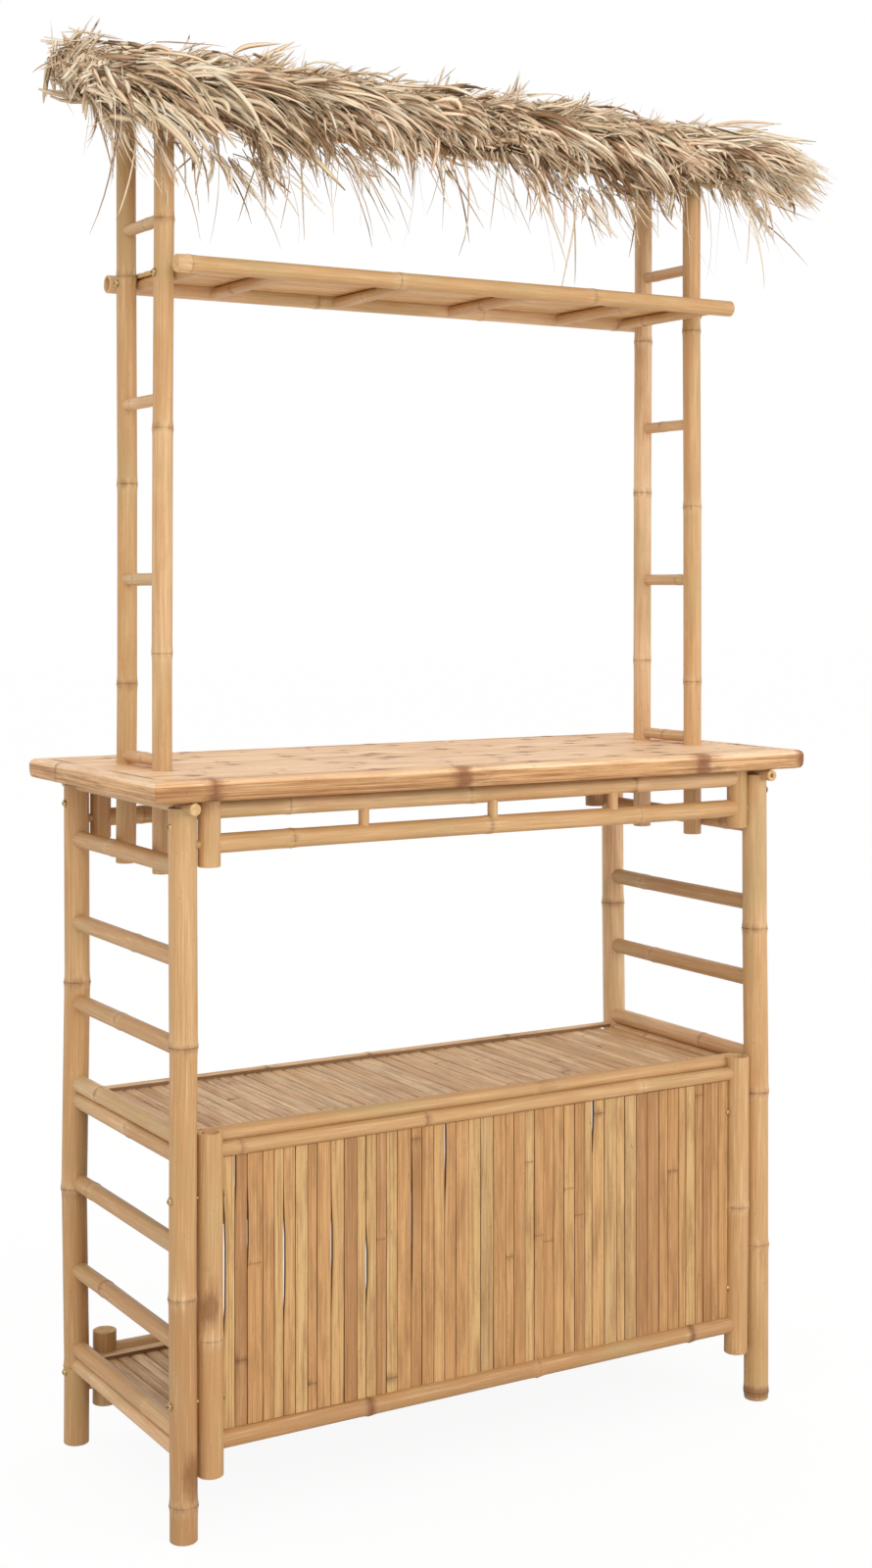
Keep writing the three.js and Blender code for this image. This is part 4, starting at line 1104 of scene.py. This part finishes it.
# How far the dense fringe hangs below the front edge, by share of the way to the right
FRINGE_DROP = [
    (0.0, 44), (0.03, 58), (0.055, 110), (0.08, 96), (0.11, 86), (0.14, 98), (0.18, 118),
    (0.22, 104), (0.28, 62), (0.32, 70), (0.355, 98), (0.4, 50), (0.45, 56), (0.49, 56),
    (0.54, 30), (0.57, 34), (0.6, 82), (0.64, 66), (0.69, 102), (0.78, 92), (0.84, 50),
    (0.9, 36), (0.95, 54), (1.0, 90),
]


def fringe_drop(share):
    return read_off(FRINGE_DROP, share)


def blade_section():
    """The section of a blade: a shallow fold."""
    curve = bpy.data.curves.new("blade_section", "CURVE")
    curve.dimensions = "2D"
    spline = curve.splines.new("POLY")
    spline.points.add(len(BLADE_SECTION) - 1)
    for point, (x, y) in zip(spline.points, BLADE_SECTION):
        point.co = (x, y, 0, 1)
    spline.use_cyclic_u = True
    made = bpy.data.objects.new("blade_section", curve)
    scene.collection.objects.link(made)
    return made


def blade_width(share):
    """How wide a blade is along its length, as a share of its widest place."""
    return min(1, 0.55 + 1.5 * share) * (1 - 0.85 * share ** 5)


def scatter(spread):
    """A random step of about so many millimetres."""
    return Vector([rng.gauss(0, spread) for _ in range(3)]) * MM


def about(x, y, z, spread=0.12):
    """A direction near the one given."""
    return Vector([part + rng.gauss(0, spread) for part in (x, y, z)]).normalized()


def drawn(limits):
    """A random number between two limits, or the number itself."""
    return rng.uniform(*limits) if isinstance(limits, tuple) else limits


def roof_place(share, up, out):
    """A place on the roof: share of the way from left to right, up the slope from the front
    edge and out of the plane. The roof is a little fuller in its middle."""
    front = Vector((ROOF_LEFT + share * (ROOF_RIGHT - ROOF_LEFT), ROOF_FRONT.y, ROOF_FRONT.z))
    fuller = 3 * math.sin(math.pi * min(1, max(0, up / ROOF_DEPTH)))
    fuller += 3 + 5 * math.sin(math.pi * share)
    return front + (UP_SLOPE * up + OFF_SLOPE * (out + fuller)) * MM


def spots(number, shares, up, out, crowding=1.0):
    """Random places on the roof, each with its share of the way to the right. A crowding above
    1 draws them to the left."""
    for _ in range(number):
        share = drawn(shares) ** crowding
        yield share, roof_place(share, drawn(up), drawn(out))


def room_right(root):
    """How far blades may reach to the right of a place."""
    return (ROOF_END - root.x) / MM + PAST_END


def kept_in(length, root, spare):
    """The length of a tuft, or less where it would pass the right end."""
    return min(length, room_right(root) / LONGEST - spare)


class Thatch:
    """Blades gathered for one piece of the thatch."""

    def __init__(self, name):
        self.name = name
        self.curve = bpy.data.curves.new(name, "CURVE")
        self.curve.dimensions = "3D"
        self.curve.fill_mode = "FULL"
        self.curve.use_fill_caps = True
        self.curve.twist_mode = "MINIMUM"
        self.curve.resolution_u = 1
        self.tones = []

    def blade(self, root, bend, tip, width, tone):
        """One blade from root to tip, drawn towards bend on its way."""
        spline = self.curve.splines.new("POLY")
        spline.points.add(BLADE_POINTS - 1)
        sway = scatter(1) * (tip - root).length / MM * 0.014
        wave = rng.uniform(0, TURN)
        tilt = rng.uniform(0, TURN)
        twist = rng.uniform(-1.1, 1.1)
        places, widths, tilts = [], [], []
        for i in range(BLADE_POINTS):
            share = i / (BLADE_POINTS - 1)
            at = root.lerp(bend, share).lerp(bend.lerp(tip, share), share)
            at += sway * math.sin(wave + 6 * share)
            places.extend((*at, 1))
            widths.append(width / 2 * blade_width(share))
            tilts.append(tilt + twist * share)
        spline.points.foreach_set("co", places)
        spline.points.foreach_set("radius", widths)
        spline.points.foreach_set("tilt", tilts)
        self.tones.append(tone)

    def tuft(self, root, way, droop, length, count, loose=9, width=(4.0, 7.0), tones=(0.2, 0.9),
             gather=0.35):
        """Blades that leave one place, bend from way to droop and come together at their tips.
        loose is how far their roots are scattered, and gather the share of it at the tips."""
        to_right = (root.x - ROOF_LEFT) / (ROOF_RIGHT - ROOF_LEFT)
        own = rng.uniform(*tones) + PALER * to_right - DARKER
        bend = way * length * MM * 0.5
        tip = bend + droop * length * MM * 0.5
        for _ in range(count):
            reach = rng.uniform(0.6, LONGEST)
            shift = scatter(loose)
            tone = min(1, max(0, own + rng.gauss(0, 0.15)))
            self.blade(root + shift, root + bend * reach + shift * 0.8 + scatter(loose * 0.5),
                       root + tip * reach + shift * gather + scatter(loose * 0.45),
                       rng.uniform(*width) * MM, tone)

    def grow(self, section, nodes):
        """Turns the blades to a mesh with a tone for each, and makes the piece."""
        self.curve.bevel_mode = "OBJECT"
        self.curve.bevel_object = section
        grower = bpy.data.objects.new(self.name, self.curve)
        scene.collection.objects.link(grower)
        bpy.context.view_layer.update()
        graph = bpy.context.evaluated_depsgraph_get()
        mesh = bpy.data.meshes.new_from_object(grower.evaluated_get(graph), depsgraph=graph)
        bpy.data.objects.remove(grower)
        bm = bmesh.new()
        bm.from_mesh(mesh)
        bpy.data.meshes.remove(mesh)
        grain = bm.verts.layers.float_vector.new("grain")
        tone = bm.verts.layers.float.new("tone")
        along = bm.verts.layers.float.new("along")
        per_blade = len(bm.verts) // len(self.tones)
        ring = len(BLADE_SECTION)
        for index, corner in enumerate(bm.verts):
            number, place_in = divmod(index, per_blade)
            step = place_in // ring
            corner[tone] = self.tones[number]
            corner[along] = step / (BLADE_POINTS - 1)
            # Each blade has a stretch of the grain to itself.
            corner[grain] = (number * 0.37 % 7 + (place_in % ring) * 2 * MM, number * 0.11 % 5,
                             step * 20 * MM)
        bmesh.ops.remove_doubles(bm, verts=bm.verts[:], dist=0.005 * MM)
        bmesh.ops.recalc_face_normals(bm, faces=bm.faces[:])
        finish_piece(bm, self.name, [LEAF], nodes)


def thatch_over_roof(section):
    """Blades that lie on the roof, all combed to the right, and the stubble that stands up."""
    over = Thatch("thatch_over_roof")
    for _ in range(230):
        share = rng.uniform(0, 1.0)
        lift = 8 * (1 - share) ** 4
        root = roof_place(share, rng.uniform(0, ROOF_DEPTH), rng.uniform(-12, 10) + lift)
        length = kept_in(rng.uniform(66, 122), root, 26)
        sunk = 1.1 * max(0, share - 0.8)
        over.tuft(root, about(1, rng.uniform(-0.25, 0.35), 0.12 - sunk, 0.2),
                  about(1, 0, -0.06 - sunk, 0.3), length, count=7, loose=10, width=(3.2, 7.8),
                  tones=(0.0, 1.0), gather=0.45)
    for _, root in spots(190, (0, 0.97), (ROOF_DEPTH * 0.3, ROOF_DEPTH), 8):
        way = about(0.8, 0, 0.3, 0.45)
        over.tuft(root, way, about(way.x, way.y, way.z - 0.2, 0.2), rng.uniform(30, 62), count=4,
                  loose=6, width=(2.2, 4.8), tones=(0.5, 0.95), gather=0.8)
    for _, root in spots(30, (0, 0.95), (0, ROOF_DEPTH), 6):
        over.tuft(root, about(0.9, 0, 0.4, 0.3), about(0.9, 0, 0.1, 0.5), rng.uniform(50, 90),
                  count=1, loose=5, width=(1.4, 2.4))
    over.grow(section, ["thatch_top"])


def thatch_spine(section):
    """Long pale blades along the front edge, and the blades that drop over it."""
    spine = Thatch("thatch_spine")
    for _, root in spots(60, (0, 0.96), (-8, 24), (2, 12)):
        length = kept_in(rng.uniform(80, 140), root, 14)
        spine.tuft(root, about(1, -0.06, 0.08, 0.2), about(1, -0.12, -0.3, 0.3), length, count=6,
                   loose=7, width=(4.4, 8.6), tones=(0.3, 0.8))
    for _, root in spots(26, (0.08, 0.34), (-8, 20), (6, 14)):
        spine.tuft(root, about(1, -0.1, 0.06, 0.14), about(0.9, -0.2, -0.45, 0.3),
                   rng.uniform(90, 150), count=5, loose=7, width=(6, 11), tones=(0.46, 0.66))
    for share, root in spots(74, (0, 0.98), (-14, 6), (-6, 10)):
        spine.tuft(root, about(1, -0.3, 0.0, 0.22), about(0.62, -0.1, -0.8, 0.25),
                   fringe_drop(share) + 46, count=6, loose=7, width=(5, 10), tones=(0.1, 0.9),
                   gather=0.15)
    for _, edge in spots(60, (0, 0.98), -14, -4):
        root = edge + Vector((0, 0, rng.uniform(-60, 8))) * MM
        spine.tuft(root, about(0.5, -0.3, -0.5, 0.5), about(0.1, -0.1, -0.8, 0.6),
                   rng.uniform(28, 66), count=2, loose=4, width=(4, 7.6), tones=(0.4, 1.0))
    spine.grow(section, [])


def thatch_valance(section):
    """The fringe that hangs from the front edge, in tufts, and the thin wisps below it."""
    valance = Thatch("thatch_valance")
    # The first tufts are the darkest blades, set just behind the fringe: painted shade under the
    # front edge.
    for share, edge in spots(44, (0.1, 0.97), 4, -24):
        valance.tuft(edge + Vector((0, 8 * MM, 0)), about(0.8, -0.1, -0.5, 0.2),
                     about(0.5, 0, -0.9, 0.25), fringe_drop(share) * 0.9, count=8, loose=10,
                     width=(5, 10), tones=(0.0, 0.04), gather=0.4)
    for share, edge in spots(215, (0, 1.0), -6, 0):
        deep = fringe_drop(share) * rng.uniform(0.68, 1.2)
        below = 4 + rng.random() * 0.42 * deep
        root = edge + Vector((0, rng.uniform(0, 10), -below)) * MM
        valance.tuft(root, about(0.95, -0.3, -0.35, 0.18), about(0.45, -0.02, -0.9, 0.26),
                     max(34, (deep - 12 - below) / 0.61), count=7, loose=8, width=(4.4, 9.4),
                     tones=(0.0, 1.0), gather=0.05)
    for share, edge in spots(105, (0.0, 1.0), (0, 40), -20):
        root = edge + Vector((0, 0, (30 - fringe_drop(share)) * MM))
        valance.tuft(root, about(0.6, -0.1, -0.8, 0.3), about(0.25, 0, -1, 0.4),
                     rng.uniform(40, 90), count=4, loose=3, width=(2, 4.6), tones=(0.6, 0.95),
                     gather=0.2)
    for share, edge in spots(190, (0.0, 1.0), (-6, 50), -20, 1.1):
        root = edge + Vector((0, 0, (34 - fringe_drop(share)) * MM))
        way = about(0.5, -0.2, -0.8, 0.35)
        valance.tuft(root, way, about(way.x - 0.2, way.y, way.z - 0.3, 0.2),
                     rng.uniform(85, 185), count=1, loose=3, width=(1.6, 3.0), tones=(0.1, 0.8))
    valance.grow(section, ["thatch_front"])


def thatch_rear(section):
    """The fringe of the rear edge, and the blades that show below the roof."""
    rear = Thatch("thatch_rear_fringe")
    for _, root in spots(110, (0, 0.97), ROOF_DEPTH - 10, (-28, 4)):
        rear.tuft(root, about(0.9, 0.3, -0.2), about(0.7, 0.1, -0.6, 0.2), 96, count=9)
    for _, root in spots(100, (0, 0.97), (10, ROOF_DEPTH), -36):
        rear.tuft(root, about(0.95, 0, -0.2), about(0.9, -0.1, -0.4, 0.2), 92, count=7,
                  tones=(0.0, 0.5))
    rear.grow(section, [])


def thatch_ends(section):
    """The ragged left end, and the right end where the blades fan out and down."""
    ends = Thatch("thatch_ends")
    for _, root in spots(100, (0, 0.09), (-6, ROOF_DEPTH), (-18, 12)):
        ends.tuft(root, about(0.35, -0.4, -0.5, 0.35), about(0.5, -0.2, -0.8, 0.28),
                  rng.uniform(46, 88), count=4, loose=6, width=(4.4, 9), tones=(0.35, 1.05),
                  gather=0.7)
    for _, root in spots(64, (0.0, 0.03), (-4, ROOF_DEPTH), (-12, 14)):
        way = about(-0.2, -0.3, -0.7, 0.42)
        ends.tuft(root, way, way, rng.uniform(32, 60), count=3, loose=6, width=(4, 8.4),
                  tones=(0.5, 1.1), gather=0.9)
    for _, root in spots(26, (0.0, 0.1), (-10, 60), (-36, -6)):
        way = about(0.3, -0.1, -0.9, 0.3)
        ends.tuft(root, way, way, rng.uniform(50, 112), count=2, loose=5, width=(1.8, 4.0),
                  tones=(0.5, 1.1), gather=0.6)
    for _, root in spots(90, (0.86, 1.0), (-8, ROOF_DEPTH - 10), (-26, 14)):
        reach = room_right(root) * rng.uniform(0.8, 1.02)
        ends.tuft(root, about(1, -0.25, 0.06, 0.13), about(0.42, -0.35, -0.7, 0.24), reach,
                  count=5, loose=8, width=(3.4, 7.4), tones=(0.3, 0.9))
    for _, root in spots(70, (0.93, 1.0), (-14, 60), (-24, 10)):
        reach = room_right(root) * rng.uniform(0.8, 1.0)
        ends.tuft(root, about(1, -0.5, 0.05, 0.12), about(0.45, -0.5, -0.8, 0.24), reach,
                  count=3, loose=6, width=(2, 5.4), tones=(0.6, 1.0), gather=0.5)
    ends.grow(section, [])


def thatch_mat():
    """The mat under the blades, dark as painted shade in the gaps between them, and the roll
    along its front edge.
    """
    bm = bmesh.new()
    length = ROOF_RIGHT - ROOF_LEFT - 40 * MM
    slope = Matrix.Rotation(ROOF_SLOPE, 4, "X")
    for middle, turn, depth, thickness in (
        (roof_place(0.5, ROOF_DEPTH / 2, -24), slope, ROOF_DEPTH - 12, 30),
        (roof_place(0.5, 10, -6) + Vector((0, 0, -24 * MM)), Matrix.Identity(4), 22, 36),
    ):
        block = bmesh.ops.create_cube(bm, size=1.0)
        size = Matrix.Diagonal((length, depth * MM, thickness * MM, 1))
        bmesh.ops.transform(bm, matrix=Matrix.Translation(middle) @ turn @ size,
                            verts=block["verts"])
    bmesh.ops.bevel(bm, geom=bm.edges[:], offset=8 * MM, segments=3, profile=0.5, affect="EDGES",
                    material=-1)
    for _ in range(5):
        long_edges = [e for e in bm.edges if abs((e.verts[0].co - e.verts[1].co).x) > 50 * MM]
        bmesh.ops.subdivide_edges(bm, edges=long_edges, cuts=1)
    for face in bm.faces:
        face.smooth = True
    finish_piece(bm, "thatch_mat", [MAT_PAINTED_SHADE], [])


def thatch():
    """The roof of dry palm leaf."""
    section = blade_section()
    for layer in (thatch_over_roof, thatch_spine, thatch_valance, thatch_rear, thatch_ends):
        layer(section)
    bpy.data.objects.remove(section)
    thatch_mat()


thatch()


# Floor and light

WHITE = (1, 1, 1, 1)
FLOOR_GREY = (0.85, 0.85, 0.85, 1)
SKY_TINT = (1, 0.99, 0.97, 1)
SKY_STRENGTH = 0.95
FLOOR_SIZE = 30
LAMP_SIZE = 3.4
LAMP_TARGET = Vector((0, 0, 1.0))
LAMPS = {"key": ((-3.4, -6.0, 4.8), 128), "fill": ((2.8, -5.8, 2.4), 92)}  # places and powers


def stage():
    """A pale floor, a white background and soft light from both sides of the front."""
    floor_mesh = bpy.data.meshes.new("floor")
    bm = bmesh.new()
    bmesh.ops.create_grid(bm, x_segments=1, y_segments=1, size=FLOOR_SIZE)
    bm.to_mesh(floor_mesh)
    bm.free()
    floor = bpy.data.objects.new("floor", floor_mesh)
    scene.collection.objects.link(floor)
    pale = Finish("pale_floor")
    seen = pale.node("LightPath").outputs["Is Camera Ray"]
    pale.set(Base_Color=pale.mix(seen, FLOOR_GREY, WHITE), Roughness=0.9, Specular_IOR_Level=0.1)
    glow = pale.node("Emission", Color=WHITE, Strength=1.0)
    pale.send(pale.maths("MULTIPLY", seen, 0.92), pale.shader, glow, pale.output)
    floor_mesh.materials.append(pale.material)
    floor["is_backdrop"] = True

    scene.world = bpy.data.worlds.new("studio")
    sky = Nodes(scene.world)
    soft = sky.tree.nodes["Background"]
    sky.feed(soft.inputs["Color"], SKY_TINT)
    sky.feed(soft.inputs["Strength"], SKY_STRENGTH)
    white = sky.node("Background", Color=WHITE, Strength=1.0)
    path = sky.node("LightPath").outputs
    seen = sky.maths("MAXIMUM", path["Is Camera Ray"], path["Is Glossy Ray"])
    sky.send(seen, soft, white, sky.tree.nodes["World Output"])

    for name, (at, power) in LAMPS.items():
        lamp = bpy.data.objects.new(name, bpy.data.lights.new(name, "AREA"))
        lamp.data.energy = power
        lamp.data.size = LAMP_SIZE
        lamp.location = at
        lamp.rotation_euler = (LAMP_TARGET - Vector(at)).to_track_quat("-Z", "Y").to_euler()
        scene.collection.objects.link(lamp)


stage()

[[list(corner) for corner in box] for box in (cad_box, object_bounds())]
